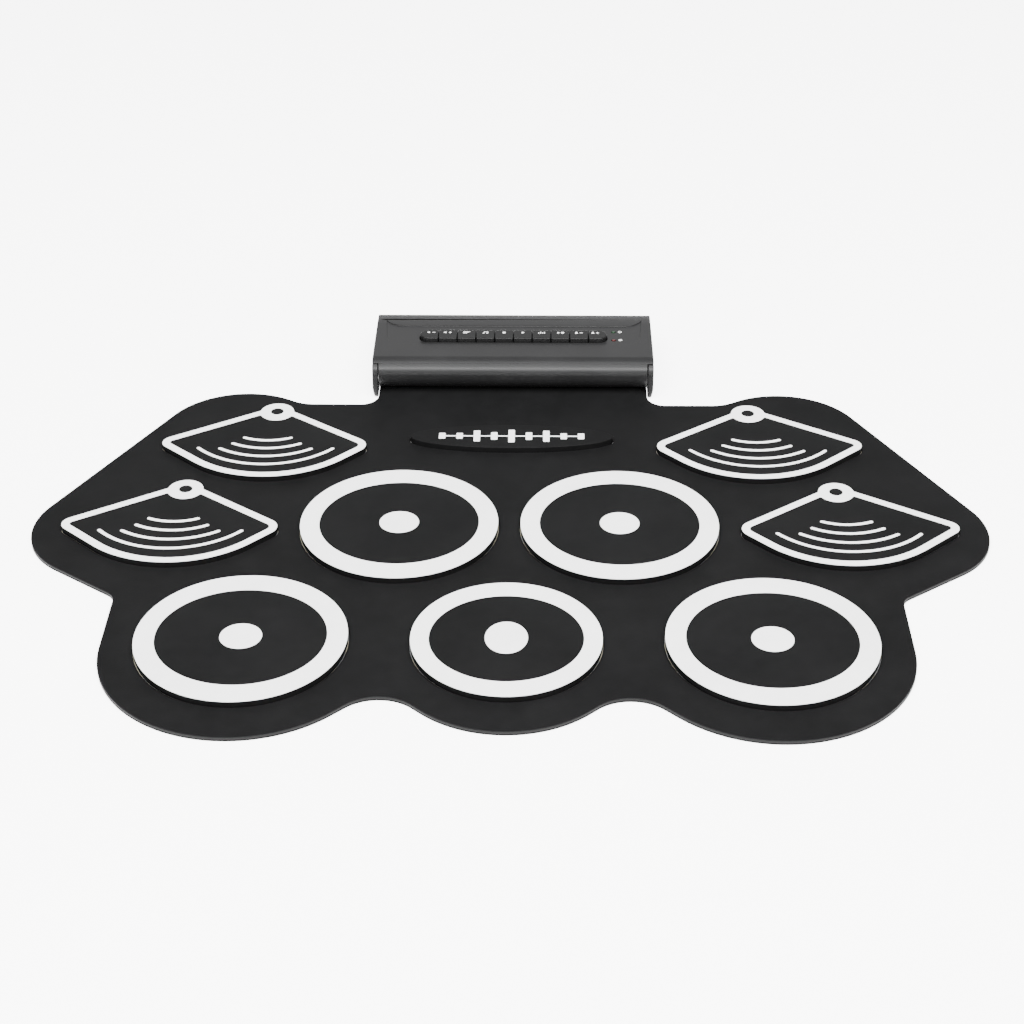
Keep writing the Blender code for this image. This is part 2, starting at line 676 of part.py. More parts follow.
def upper_section():
    """The upper shell's wall as one C-shaped band: under the nose, round it, over the top and down."""
    chin = (HOUSING_FRONT_Y + NOSE_RADIUS, LIP_Z + NOSE_RADIUS)
    inside = NOSE_RADIUS - WALL
    outer = [(chin[0] + LIP_LENGTH, LIP_Z)] + arc(chin, NOSE_RADIUS, 270.0, 180.0, 7)
    outer += arc(roll_centre(), NOSE_RADIUS, 180.0, 90.0, 7) + arc(rear_centre(), REAR_ROLL, 90.0, 0.0, 4)
    outer.append((HOUSING_REAR_Y, PARTING_Z))
    inner = [(chin[0] + LIP_LENGTH, LIP_Z + WALL)] + arc(chin, inside, 270.0, 180.0, 5)
    inner += arc(roll_centre(), inside, 180.0, 90.0, 5)
    inner += arc(rear_centre(), REAR_ROLL - WALL, 90.0, 0.0, 3)
    inner.append((INNER_REAR_Y, PARTING_Z))
    return outer + inner[::-1]


def lid_section():
    """The band of the lid that runs the full width and caps the cheeks, with a flat underside."""
    outer = arc(roll_centre(), NOSE_RADIUS, 180.0 - LID_SEAM_ANGLE, 90.0, 4)
    outer += arc(rear_centre(), REAR_ROLL, 90.0, LID_SEAM_ANGLE, 3)
    seam_z = outer[0][1]
    outer[-1] = (outer[-1][0], seam_z)
    return outer, seam_z


def key_slot():
    """The keys' opening: a long slot with half-round ends."""
    radius = SLOT_DEPTH / 2
    straight = SLOT_HALF + FIT - SLOT_DEPTH / 2
    return arc((straight, KEY_Y), radius, -90.0, 90.0, 8) + arc((-straight, KEY_Y), radius, 90.0, 270.0, 8)


def panel_outline():
    """The dished key panel: round front corners, and back corners that flare out towards the ends."""
    front_round = (PANEL_HALF, PANEL_FRONT_Y + PANEL_FRONT_ROUND)
    flare = (PANEL_HALF, PANEL_BACK_Y + PANEL_FLARE)
    right = arc(front_round, PANEL_FRONT_ROUND, -90.0, 0.0, 5)
    right += arc(flare, PANEL_FLARE, -20.0, -90.0, 5)
    return right + [(-x, y) for x, y in reversed(right)]


def boss_places():
    return [(side * BOSS_X, y) for side in (-1, 1) for y in BOSS_YS]


def wall_hole(kit, name, x, half_width, half_height):
    """A straight-sided way through the rear wall."""
    low, high = CONNECTOR_Z - half_height, CONNECTOR_Z + half_height
    section = rectangle(x - half_width, x + half_width, low, high)
    return along_y(kit, name, section, INNER_REAR_Y - WALL, HOUSING_REAR_Y + WALL)


def round_wall_hole(kit, name, x, radius):
    section = ellipse((x, CONNECTOR_Z), radius, radius, ROD_SEGMENTS)
    return along_y(kit, name, section, INNER_REAR_Y - WALL, HOUSING_REAR_Y + WALL)


def upper_shell(kit):
    shell = across(kit, "upper_shell", upper_section(), -NOSE_HALF, NOSE_HALF)
    half = HOUSING_WIDTH / 2
    lid = across(kit, "lid", lid_section()[0], -half, half)
    join(kit, shell, lid)
    for index, (x, y) in enumerate(boss_places()):
        boss = rod(kit, f"boss_{index}", (x, y), BOSS_RADIUS, BOARD_Z, LINER_Z + WALL / 2, ROD_SEGMENTS)
        join(kit, shell, boss)
    through = (LINER_Z - WALL, HOUSING_TOP + WALL)
    cut(kit, shell, slab(kit, "key_panel", [panel_outline()], PANEL_Z, HOUSING_TOP + WALL))
    cut(kit, shell, slab(kit, "key_slot", [key_slot()], *through))
    for index, y in enumerate(LAMP_YS):
        cut(kit, shell, rod(kit, f"lamp_hole_{index}", (LAMP_X, y), LAMP_RADIUS + FIT, *through))
    for index, (x, y) in enumerate(boss_places()):
        radius = SCREW_RADIUS + FIT
        cut(kit, shell, rod(kit, f"screw_hole_{index}", (x, y), radius, 0.0, SCREW_TIP_Z + FIT))
    for name, x in JACKS:
        cut(kit, shell, round_wall_hole(kit, name, x, JACK_NOSE + FIT))
    cut(kit, shell, wall_hole(kit, "usb", USB_X, USB_SIZE[0] / 2 + FIT, USB_SIZE[2] / 2 + FIT))
    slide_half = SLIDER_SIZE[0] / 2 + SLIDER_TRAVEL / 2 + FIT
    slide_x = SLIDER_X + SLIDER_TRAVEL / 2
    cut(kit, shell, wall_hole(kit, "slider", slide_x, slide_half, SLIDER_SIZE[1] / 2 + FIT))
    return kit.add(shell, "housing")


def cheek_section():
    """Side plate: straight front, the nose roll up to the lid's seam, and a rounded lower back corner."""
    seam_z = lid_section()[1] - FIT
    top_angle = math.degrees(math.asin((seam_z - roll_centre()[1]) / NOSE_RADIUS))
    heel = (HOUSING_REAR_Y - BOTTOM_ROLL, HOUSING_LIFT + BOTTOM_ROLL)
    rear_angle = math.degrees(math.asin((seam_z - rear_centre()[1]) / REAR_ROLL))
    section = [(HOUSING_FRONT_Y, HOUSING_LIFT)] + arc(heel, BOTTOM_ROLL, 270.0, 360.0, 3)
    section += arc(rear_centre(), REAR_ROLL, 0.0, rear_angle, 2)
    section += arc(roll_centre(), NOSE_RADIUS, 180.0 - top_angle, 180.0, 4)
    return section


def cheeks(kit):
    for name, side in (("left_cheek", -1), ("right_cheek", 1)):
        inner, outer = sorted((side * CHEEK_IN, side * HOUSING_WIDTH / 2))
        cheek = across(kit, name, cheek_section(), inner, outer, CHEEK_EDGE)
        kit.add(cheek, "housing")


def lower_shell(kit):
    """The tray: a short front wall behind the neck, the bottom, and the back wall up to the parting."""
    heel = (HOUSING_REAR_Y - BOTTOM_ROLL, HOUSING_LIFT + BOTTOM_ROLL)
    floor_z = HOUSING_LIFT + WALL
    front_top = (floor_z + BOARD_Z) / 2
    section = [(SHELL_FRONT_Y, HOUSING_LIFT)] + arc(heel, BOTTOM_ROLL, 270.0, 360.0, 3)
    section += [(HOUSING_REAR_Y, PARTING_Z - FIT), (INNER_REAR_Y, PARTING_Z - FIT), (INNER_REAR_Y, floor_z)]
    section += [(SHELL_FRONT_Y + WALL, floor_z), (SHELL_FRONT_Y + WALL, front_top)]
    section.append((SHELL_FRONT_Y, front_top))
    shell = across(kit, "lower_shell", section, -NOSE_HALF, NOSE_HALF)
    boss_top = BOARD_Z - FIT
    rise = (floor_z - WALL / 2, boss_top)
    for index, (x, y) in enumerate(boss_places()):
        join(kit, shell, rod(kit, f"boss_{index}", (x, y), BOSS_RADIUS, *rise, ROD_SEGMENTS))
    rib_run = (BOARD_FRONT_Y + RIB_INSET, INNER_REAR_Y - WALL)
    for side in (-1, 1):
        x = side * BOARD_HALF / 2
        join(kit, shell, block(kit, f"rib_{side}", (x - WALL / 2, x + WALL / 2), rib_run, rise))
    for index, (x, y) in enumerate(boss_places()):
        hole = rod(kit, f"screw_hole_{index}", (x, y), SCREW_RADIUS + FIT, -WALL, BOARD_Z + WALL)
        well_top = HOUSING_LIFT + SCREW_HEAD + 2 * FIT
        well = rod(kit, f"head_well_{index}", (x, y), SCREW_HEAD_RADIUS + FIT, -WALL, well_top, ROD_SEGMENTS)
        cut(kit, shell, hole, well)
    for index, place in enumerate(foot_places()):
        well = rod(kit, f"foot_well_{index}", place, FOOT_RADIUS + FIT, -WALL, FOOT_THICK + FIT, DOT_SEGMENTS)
        cut(kit, shell, well)
    return kit.add(shell, "housing")


# --- keys and lamps -----------------------------------------------------------------------------
def key_cap_outline(index):
    """A key's plan: square, with the slot's half-round end on the first and last."""
    left = -SLOT_HALF + index * KEY_PITCH + FIT / 2
    right = left + KEY_PITCH - FIT
    radius = KEY_DEPTH / 2
    front, back = KEY_Y - radius, KEY_Y + radius
    if index == 0:
        return [(right, front), (right, back)] + arc((left + radius, KEY_Y), radius, 90.0, 270.0, 8)
    if index == KEY_COUNT - 1:
        return [(left, back), (left, front)] + arc((right - radius, KEY_Y), radius, -90.0, 90.0, 8)
    return rectangle(left, right, front, back)


def key_centre(index):
    return -SLOT_HALF + (index + 0.5) * KEY_PITCH


def keys(kit):
    """Each key is a cap through the slot, a flange that stops it under the lid and a post to its switch."""
    for index in range(KEY_COUNT):
        name = f"key_{index + 1:02d}"
        cap = slab(kit, name, [key_cap_outline(index)], FLANGE_Z + FIT, HOUSING_TOP + KEY_PROUD, KEY_EDGE)
        x = key_centre(index)
        half = KEY_PITCH / 2 - FIT
        reach = KEY_DEPTH / 2 + KEY_FLANGE
        depth = (KEY_Y - reach, KEY_Y + reach)
        flange = block(kit, "flange", (x - half, x + half), depth, (FLANGE_Z, FLANGE_TOP))
        post = rod(kit, "post", (x, KEY_Y), PLUNGER_RADIUS, POST_Z, FLANGE_Z + FIT)
        kit.add(cap, "key")
        join(kit, cap, flange, post)


def lamps(kit):
    low = BOARD_TOP + FIT
    for name, y in zip(("power_lamp", "record_lamp"), LAMP_YS):
        lamp = rod(kit, name, (LAMP_X, y), LAMP_RADIUS, low, PANEL_Z + FIT, ROD_SEGMENTS)
        base = rod(kit, "base", (LAMP_X, y), LAMP_BASE_RADIUS, low, BOARD_TOP + WALL, ROD_SEGMENTS)
        kit.add(lamp, "lamp")
        join(kit, lamp, base)


# --- board and sockets --------------------------------------------------------------------------
def main_board(kit):
    back = INNER_REAR_Y - BOARD_BACK_GAP
    board = block(kit, "main_board", (-BOARD_HALF, BOARD_HALF), (BOARD_FRONT_Y, back), (BOARD_Z, BOARD_TOP))
    kit.add(board, "board")
    half = SWITCH_SIDE / 2
    for index in range(KEY_COUNT):
        x = key_centre(index)
        depth = (KEY_Y - half, KEY_Y + half)
        top = BOARD_TOP + SWITCH_HEIGHT
        body = block(kit, f"switch_{index}", (x - half, x + half), depth, (BOARD_TOP - FIT, top))
        plunger = rod(kit, f"plunger_{index}", (x, KEY_Y), PLUNGER_RADIUS, top - FIT, PLUNGER_TOP)
        join(kit, board, body, plunger)
    return board


def jacks(kit):
    """3.5 mm sockets: a square body on the board, a round nose in the back wall and a bore."""
    back = INNER_REAR_Y - FIT
    half = JACK_SIDE / 2
    for name, x in JACKS:
        rise = (BOARD_TOP + FIT, CONNECTOR_Z + half)
        body = block(kit, name, (x - half, x + half), (back - JACK_LENGTH, back), rise)
        kit.add(body, "socket")
        nose = ellipse((x, CONNECTOR_Z), JACK_NOSE, JACK_NOSE, ROD_SEGMENTS)
        bore = ellipse((x, CONNECTOR_Z), JACK_BORE, JACK_BORE, ROD_SEGMENTS)
        join(kit, body, along_y(kit, "nose", nose, back - WALL, HOUSING_REAR_Y - FIT))
        cut(kit, body, along_y(kit, "bore", bore, back - JACK_LENGTH + WALL, HOUSING_REAR_Y + WALL))


def usb_socket(kit):
    """A steel shell, open at the back, round a contact tongue."""
    width, depth, height = USB_SIZE
    back = HOUSING_REAR_Y - FIT
    low = CONNECTOR_Z - height / 2
    span = (USB_X - width / 2, USB_X + width / 2)
    shell = block(kit, "usb_socket", span, (back - depth, back), (low, low + height))
    kit.add(shell, "steel")
    half, rise = width / 2 - USB_WALL, height / 2 - USB_WALL
    mouth = rectangle(USB_X - half, USB_X + half, CONNECTOR_Z - rise, CONNECTOR_Z + rise)
    cut(kit, shell, along_y(kit, "mouth", mouth, back - depth + WALL, back + WALL))
    tongue = rectangle(USB_X - half / 2, USB_X + half / 2, CONNECTOR_Z - rise / 3, CONNECTOR_Z + rise / 3)
    join(kit, shell, along_y(kit, "tongue", tongue, back - depth + WALL / 2, back - WALL / 2))
    behind = (back - depth, back - depth + WALL)
    post = block(kit, "pin_block", (USB_X - half, USB_X + half), behind, (BOARD_TOP + FIT, CONNECTOR_Z))
    join(kit, shell, post)


def power_slider(kit):
    width, height = SLIDER_SIZE
    low, high = CONNECTOR_Z - height / 2, CONNECTOR_Z + height / 2
    front = INNER_REAR_Y - WALL
    span = (SLIDER_X - width / 2, SLIDER_X + width / 2)
    knob = block(kit, "power_slider", span, (front, HOUSING_REAR_Y + SLIDER_PROUD), (low, high))
    wide = (SLIDER_X - width, SLIDER_X + width)
    plate = block(kit, "plate", wide, (front, INNER_REAR_Y - FIT), (low - SLIDER_EDGE, high + SLIDER_EDGE))
    kit.add(knob, "key")
    join(kit, knob, plate)


# --- fixings ------------------------------------------------------------------------------------
def foot_places():
    ys = (SHELL_FRONT_Y + WALL + FOOT_RADIUS + 2 * FIT, HOUSING_REAR_Y - BOTTOM_ROLL - FOOT_RADIUS)
    return [(side * FOOT_X, y) for side in (-1, 1) for y in ys]


def feet(kit):
    for index, (x, y) in enumerate(foot_places()):
        kit.add(rod(kit, f"foot_{index + 1}", (x, y), FOOT_RADIUS, 0.0, FOOT_THICK, DOT_SEGMENTS), "rubber")


def screws(kit):
    head_low = HOUSING_LIFT + FIT
    head_top = head_low + SCREW_HEAD
    for index, place in enumerate(boss_places()):
        head = rod(kit, f"screw_{index + 1}", place, SCREW_HEAD_RADIUS, head_low, head_top, ROD_SEGMENTS)
        shank = rod(kit, "shank", place, SCREW_RADIUS, head_top - FIT, SCREW_TIP_Z)
        kit.add(head, "steel")
        join(kit, head, shank)


def neck_clamp(kit):
    """A bar that presses the neck down, with pegs through holes in both sheets."""
    low = MAT_THICK + FIT
    bar = block(kit, "neck_clamp", (-CLAMP_HALF, CLAMP_HALF), (CLAMP_BACK_Y - CLAMP_DEPTH, CLAMP_BACK_Y),
                (low, low + CLAMP_THICK))
    kit.add(bar, "housing")
    for index, x in enumerate(PEG_XS):
        join(kit, bar, rod(kit, f"peg_{index}", (x, PEG_Y), PEG_RADIUS, FIT, low + CLAMP_THICK / 2))


def build():
    clear_scene()
    front_y = min(y for _, y in mat_outline())
    back_y = HOUSING_REAR_Y + SLIDER_PROUD
    kit = Kit(-(front_y + back_y) / 2)
    base_sheet(kit)
    sensor_film(kit)
    top_sheet(kit)
    drum_pads(kit)
    cymbal_pads(kit)
    nameplate(kit)
    upper_shell(kit)
    lower_shell(kit)
    cheeks(kit)
    keys(kit)
    lamps(kit)
    main_board(kit)
    jacks(kit)
    usb_socket(kit)
    power_slider(kit)
    feet(kit)
    screws(kit)
    neck_clamp(kit)


build()
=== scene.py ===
import math

import bpy
from mathutils import Matrix, Vector


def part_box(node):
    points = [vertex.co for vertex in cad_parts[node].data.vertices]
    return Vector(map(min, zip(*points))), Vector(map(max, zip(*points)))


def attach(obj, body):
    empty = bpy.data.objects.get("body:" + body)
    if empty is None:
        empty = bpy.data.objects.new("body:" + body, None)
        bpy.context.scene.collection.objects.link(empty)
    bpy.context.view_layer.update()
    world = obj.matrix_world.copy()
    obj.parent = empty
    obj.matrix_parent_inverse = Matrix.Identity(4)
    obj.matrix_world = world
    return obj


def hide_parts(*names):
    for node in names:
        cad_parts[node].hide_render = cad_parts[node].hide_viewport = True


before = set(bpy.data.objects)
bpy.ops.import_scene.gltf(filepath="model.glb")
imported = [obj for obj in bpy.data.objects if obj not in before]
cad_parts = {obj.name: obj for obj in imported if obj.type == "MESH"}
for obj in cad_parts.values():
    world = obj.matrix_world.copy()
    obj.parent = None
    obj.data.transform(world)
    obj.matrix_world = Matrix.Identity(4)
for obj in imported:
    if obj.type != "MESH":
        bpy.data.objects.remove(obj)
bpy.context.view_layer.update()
print("frame loaded:", len(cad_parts), "nodes")

mm = 0.001
mergeGap = 0.002 * mm


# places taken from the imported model
def middleOf(node):
    low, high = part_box(node)
    return (low + high) / 2


def sizeOf(node):
    low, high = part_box(node)
    return high - low


kitY = (middleOf("high_tom_pad").y + middleOf("snare_pad").y) / 2  # midway between the two rows of pads
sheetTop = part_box("top_sheet")[1].z
padLow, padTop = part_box("snare_pad")[0].z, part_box("snare_inlay")[1].z
noseHalf = sizeOf("lower_shell").x / 2

drumNames = ("snare", "high_tom", "middle_tom", "floor_tom", "centre")
cymbalNames = ("hihat", "crash", "splash", "ride")
keyNames = [f"key_{number:02d}" for number in range(1, 11)]
jacks = {  # node: piece that stands for it
    "phones_jack": "phonesSocket",
    "line_in_jack": "lineInSocket",
    "kick_pedal_jack": "kickPedalSocket",
    "hihat_pedal_jack": "hihatPedalSocket",
}


# working on one piece at a time
def selectNone():
    for other in list(bpy.context.selected_objects):
        other.select_set(False)


def selectOnly(*pieces):
    selectNone()
    for piece in pieces:
        piece.select_set(True)
    bpy.context.view_layer.objects.active = pieces[0]


def mergeAndFace(piece):
    selectOnly(piece)
    bpy.ops.object.mode_set(mode="EDIT")
    bpy.ops.mesh.select_all(action="SELECT")
    bpy.ops.mesh.remove_doubles(threshold=mergeGap)
    bpy.ops.mesh.normals_make_consistent(inside=False)
    bpy.ops.object.mode_set(mode="OBJECT")


def modify(piece, kind, **settings):
    selectOnly(piece)
    modifier = piece.modifiers.new(kind, kind)
    for key, value in settings.items():
        setattr(modifier, key, value)
    bpy.ops.object.modifier_apply(modifier=modifier.name)


def cutAway(piece, *tools):
    for tool in tools:
        modify(piece, "BOOLEAN", operation="DIFFERENCE", solver="MANIFOLD", object=tool)
        bpy.data.objects.remove(tool)


def roundEdges(piece, width):  # flat faces are made whole first, so that only real corners are rounded
    modify(piece, "DECIMATE", decimate_type="DISSOLVE", angle_limit=math.radians(0.3))
    modify(piece, "BEVEL", width=width * mm, segments=2, limit_method="ANGLE",
           angle_limit=math.radians(40), use_clamp_overlap=False)


def joined(name, pieces):
    selectOnly(*pieces)
    if len(pieces) > 1:
        bpy.ops.object.join()
    piece = bpy.context.object
    piece.name = name
    return piece


def settle(piece, name, body, slot, finish, *nodes):
    piece.name = name
    selectOnly(piece)
    bpy.ops.object.shade_smooth_by_angle(angle=math.radians(32))
    modify(piece, "WEIGHTED_NORMAL", keep_sharp=True)
    piece.data.materials.clear()
    piece.data.materials.append(finish)
    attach(piece, body)
    if nodes:
        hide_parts(*nodes)


# outlines, all in mm
def arcPoints(centre, radius, start, end, stepAngle=5.0):
    steps = max(2, math.ceil(abs(end - start) / stepAngle))
    angles = [math.radians(start + (end - start) * step / steps) for step in range(steps + 1)]
    return [(centre[0] + radius * math.cos(a), centre[1] + radius * math.sin(a)) for a in angles]


def ovalPoints(centre, semiX, semiY, count=128):
    angles = [2 * math.pi * index / count for index in range(count)]
    return [(centre[0] + semiX * math.cos(a), centre[1] + semiY * math.sin(a)) for a in angles]


def circlePoints(centre, radius, count):
    return ovalPoints(centre, radius, radius, count)


def boxPoints(left, right, low, high, corner=0.0):
    corners = [(left + corner, low + corner), (right - corner, low + corner)]
    corners += [(right - corner, high - corner), (left + corner, high - corner)]
    return beltPoints([(x, y, corner) for x, y in corners], smallStep=15.0) if corner else corners


def runHeading(start, end):  # direction of the straight run between two discs
    (x0, y0, r0), (x1, y1, r1) = start, end
    lean = (r1 - r0) / math.hypot(x1 - x0, y1 - y0)
    return math.atan2(y1 - y0, x1 - x0) - math.asin(max(-1.0, min(1.0, lean)))


smallRadius = 12  # rounder bends than this, in mm, take smallStep for their facets


# a belt pulled anticlockwise round discs (x, y, radius); it passes inside a disc with a negative radius
def beltPoints(discs, grow=0.0, smallStep=9.0):
    discs = [(x, y, radius + grow) for x, y, radius in discs]
    headings = [runHeading(start, end) for start, end in zip(discs, discs[1:] + discs[:1])]
    points = []
    for index, (x, y, radius) in enumerate(discs):
        arriving, leaving = headings[index - 1], headings[index]
        turn = (leaving - arriving) % (2 * math.pi)
        if radius < 0:
            turn -= 2 * math.pi
        stepAngle = math.radians(smallStep if abs(radius) < smallRadius else 2.5)
        steps = max(1, math.ceil(abs(turn) / stepAngle - 1e-6))
        for step in range(steps + 1):
            heading = arriving + turn * step / steps
            points.append((x + radius * math.sin(heading), y - radius * math.cos(heading)))
    return points


def shifted(points, x, y, side=1):
    moved = [(x + side * px, y + py) for px, py in points]
    return moved if side > 0 else moved[::-1]


# sections drawn as (y, z) run along x; sections drawn as (x, z) run towards -y
alongX = Matrix(((0, 0, 1, 0), (1, 0, 0, 0), (0, 1, 0, 0), (0, 0, 0, 1)))
alongY = Matrix(((1, 0, 0, 0), (0, 0, -1, 0), (0, 1, 0, 0), (0, 0, 0, 1)))


# a flat curve given its thickness, with edge as the rounding of both rims; everything in mm
def platePiece(loops, low, high, edge=0.0, turn=None, rimSteps=2):
    curve = bpy.data.curves.new("plate", "CURVE")
    curve.dimensions = "2D"
    curve.fill_mode = "BOTH"
    curve.extrude = ((high - low) / 2 - edge) * mm
    curve.bevel_depth = edge * mm
    curve.bevel_resolution = rimSteps
    curve.offset = -edge * mm
    for loop in loops:
        spline = curve.splines.new("POLY")
        spline.points.add(len(loop) - 1)
        for point, (x, y) in zip(spline.points, loop):
            point.co = (x * mm, y * mm, 0.0, 1.0)
        spline.use_cyclic_u = True
    plate = bpy.data.objects.new("plate", curve)
    bpy.context.scene.collection.objects.link(plate)
    selectOnly(plate)
    bpy.ops.object.convert(target="MESH")
    plate = bpy.context.object
    plate.matrix_world = (turn or Matrix()) @ Matrix.Translation((0.0, 0.0, (low + high) / 2 * mm))
    bpy.ops.object.transform_apply(location=True, rotation=True, scale=True)
    mergeAndFace(plate)
    return plate


def runPiece(section, left, right, edge=0.0):  # a (y, z) section run along x
    return platePiece([section], left, right, edge, alongX)


def backPiece(loops, front, back, edge=0.0):  # (x, z) loops run along y
    return platePiece(loops, -back, -front, edge, alongY)


def toPlace(x, y):
    return x, y + kitY / mm


print("tools ready")


# shader maths: a Wire is one output socket
class Wire:
    def __init__(self, recipe, socket):
        self.recipe = recipe
        self.socket = socket

    def maths(self, operation, first, second):
        return self.recipe.add("ShaderNodeMath", {"operation": operation}, {0: first, 1: second})

    def __add__(self, other):
        return self.maths("ADD", self, other)

    def __mul__(self, other):
        return self.maths("MULTIPLY", self, other)

    def __sub__(self, other):
        return self.maths("SUBTRACT", self, other)

    def __rsub__(self, other):
        return self.maths("SUBTRACT", other, self)

    __radd__ = __add__
    __rmul__ = __mul__


class Recipe:
    def __init__(self, name):
        self.material = bpy.data.materials.new(name)
        self.material.use_nodes = True
        self.tree = self.material.node_tree
        self.shader = self.tree.nodes["Principled BSDF"]
        self.place = self.add("ShaderNodeTexCoord", output="Object")

    def feed(self, socket, value):
        if isinstance(value, Wire):
            self.tree.links.new(value.socket, socket)
        else:
            socket.default_value = value

    def add(self, kind, settings=None, inputs=None, output=0):
        node = self.tree.nodes.new(kind)
        for key, value in (settings or {}).items():
            setattr(node, key, value)
        for key, value in (inputs or {}).items():
            self.feed(node.inputs[key], value)
        return Wire(self, node.outputs[output])

    def noise(self, size, detail=3.0, roughness=0.55):  # size of one blotch, mm
        inputs = {"Vector": self.place, "Scale": 1 / (size * mm), "Detail": detail, "Roughness": roughness}
        return self.add("ShaderNodeTexNoise", None, inputs)

    def mix(self, first, second, factor):
        inputs = {0: factor, 6: (*first, 1.0), 7: (*second, 1.0)}
        return self.add("ShaderNodeMix", {"data_type": "RGBA"}, inputs, output=2)

    def over(self, value, low, high):  # 0 below low, 1 above high
        inputs = {"Value": value, "From Min": low, "From Max": high}
        return self.add("ShaderNodeMapRange", None, inputs)

    def set(self, **values):
        for key, value in values.items():
            self.feed(self.shader.inputs[key.replace("_", " ")], value)

    def bump(self, height, depth, strength=1.0):  # depth in mm
        inputs = {"Height": height, "Distance": depth * mm, "Strength": strength}
        self.set(Normal=self.add("ShaderNodeBump", None, inputs))


siliconeLook = {
    "sheet": {"dark": (0.0034, 0.0034, 0.0035), "light": (0.0058, 0.0058, 0.0060), "rough": 0.62, "gloss": 0.18,
              "grain": 0.55, "depth": 0.035, "dust": (0.014, 0.014, 0.0144)},
    "pad": {"dark": (0.0036, 0.0036, 0.0037), "light": (0.0060, 0.0060, 0.0062), "rough": 0.58, "gloss": 0.18,
            "grain": 0.42, "depth": 0.03, "dust": (0.014, 0.014, 0.0144)},
    "white": {"dark": (0.84, 0.84, 0.835), "light": (0.93, 0.93, 0.926), "rough": 0.48, "gloss": 0.5,
              "grain": 0.42, "depth": 0.02, "dust": (0.74, 0.735, 0.72)},
    "rubber": {"dark": (0.012, 0.012, 0.012), "light": (0.02, 0.02, 0.02), "rough": 0.75, "gloss": 0.3,
               "grain": 0.3, "depth": 0.04, "dust": (0.05, 0.05, 0.048)},
}


# moulded silicone: a sandblasted grain, cloudy mottling and a little dust in the grain
def silicone(name, look):
    recipe = Recipe(name)
    cloud = recipe.noise(38, 3)
    mottle = recipe.noise(6, 3)
    grain = recipe.noise(look["grain"], 2)
    dust = recipe.over(recipe.noise(2.2, 5, 0.7), 0.66, 0.78) * recipe.over(cloud, 0.42, 0.7)
    shade = recipe.over(cloud * 0.5 + mottle * 0.3 + grain * 0.2, 0.34, 0.66)
    base = recipe.mix(look["dark"], look["light"], shade)
    inputs = {0: dust * 0.5, 6: base, 7: (*look["dust"], 1.0)}
    recipe.set(Base_Color=recipe.add("ShaderNodeMix", {"data_type": "RGBA"}, inputs, output=2))
    recipe.set(Roughness=look["rough"] + 0.1 * (mottle - 0.5) + 0.12 * dust, IOR=1.42,
               Specular_IOR_Level=look["gloss"])
    recipe.bump(grain + 0.6 * recipe.noise(1.6, 2), look["depth"])
    return recipe.material


plasticLook = {
    "housing": {"dark": (0.0095, 0.0095, 0.0098), "light": (0.0135, 0.0135, 0.0139), "rough": 0.36,
                "grain": 0.32, "depth": 0.012},
    "key": {"dark": (0.0045, 0.0045, 0.0046), "light": (0.0075, 0.0075, 0.0077), "rough": 0.42,
            "grain": 0.25, "depth": 0.01},
    "socket": {"dark": (0.008, 0.008, 0.008), "light": (0.014, 0.014, 0.014), "rough": 0.4,
               "grain": 0.4, "depth": 0.008},
}


# moulded ABS with a fine spark-eroded texture, a few polished spots and hairline scuffs
def plastic(name, look):
    recipe = Recipe(name)
    cloud = recipe.noise(22, 3)
    grain = recipe.noise(look["grain"], 2)
    longScuffs = {"Vector": recipe.place, "Scale": (30.0, 900.0, 300.0)}
    stretch = recipe.add("ShaderNodeMapping", None, longScuffs)
    scuff = recipe.add("ShaderNodeTexNoise", None, {"Vector": stretch, "Scale": 1.0, "Detail": 4.0})
    scuff = recipe.over(scuff, 0.66, 0.76) * recipe.over(cloud, 0.45, 0.62)
    shade = recipe.over(cloud * 0.6 + grain * 0.4, 0.3, 0.7)
    recipe.set(Base_Color=recipe.mix(look["dark"], look["light"], shade))
    recipe.set(Roughness=look["rough"] + 0.08 * (cloud - 0.5) + 0.1 * scuff, IOR=1.5)
    recipe.bump(grain, look["depth"])
    return recipe.material


metalLook = {
    "nickel": {"dark": (0.52, 0.51, 0.49), "light": (0.66, 0.65, 0.63), "rough": 0.24},
    "gold": {"dark": (0.72, 0.50, 0.19), "light": (0.83, 0.62, 0.28), "rough": 0.28},
    "steel": {"dark": (0.38, 0.38, 0.39), "light": (0.55, 0.55, 0.56), "rough": 0.32},
}


def metal(name, look):
    recipe = Recipe(name)
    tarnish = recipe.noise(1.8, 4)
    recipe.set(Base_Color=recipe.mix(look["dark"], look["light"], recipe.over(tarnish, 0.35, 0.65)))
    recipe.set(Roughness=look["rough"] + 0.14 * (tarnish - 0.4), Metallic=1.0)
    recipe.bump(recipe.noise(0.25, 2), 0.004)
    return recipe.material


def ink(name):  # screen-printed white
    recipe = Recipe(name)
    cover = recipe.over(recipe.noise(0.35, 3), 0.3, 0.6)
    recipe.set(Base_Color=recipe.mix((0.66, 0.66, 0.65), (0.88, 0.88, 0.87), cover), Roughness=0.5)
    recipe.bump(cover, 0.004)
    return recipe.material


def lens(name, dark, light):  # a tinted lamp that is off
    recipe = Recipe(name)
    swirl = recipe.over(recipe.noise(0.7, 2), 0.35, 0.65)
    recipe.set(Base_Color=recipe.mix(dark, light, swirl), Roughness=0.12 + 0.05 * swirl, Coat_Weight=0.6)
    recipe.bump(recipe.noise(0.5, 2), 0.004)
    return recipe.material


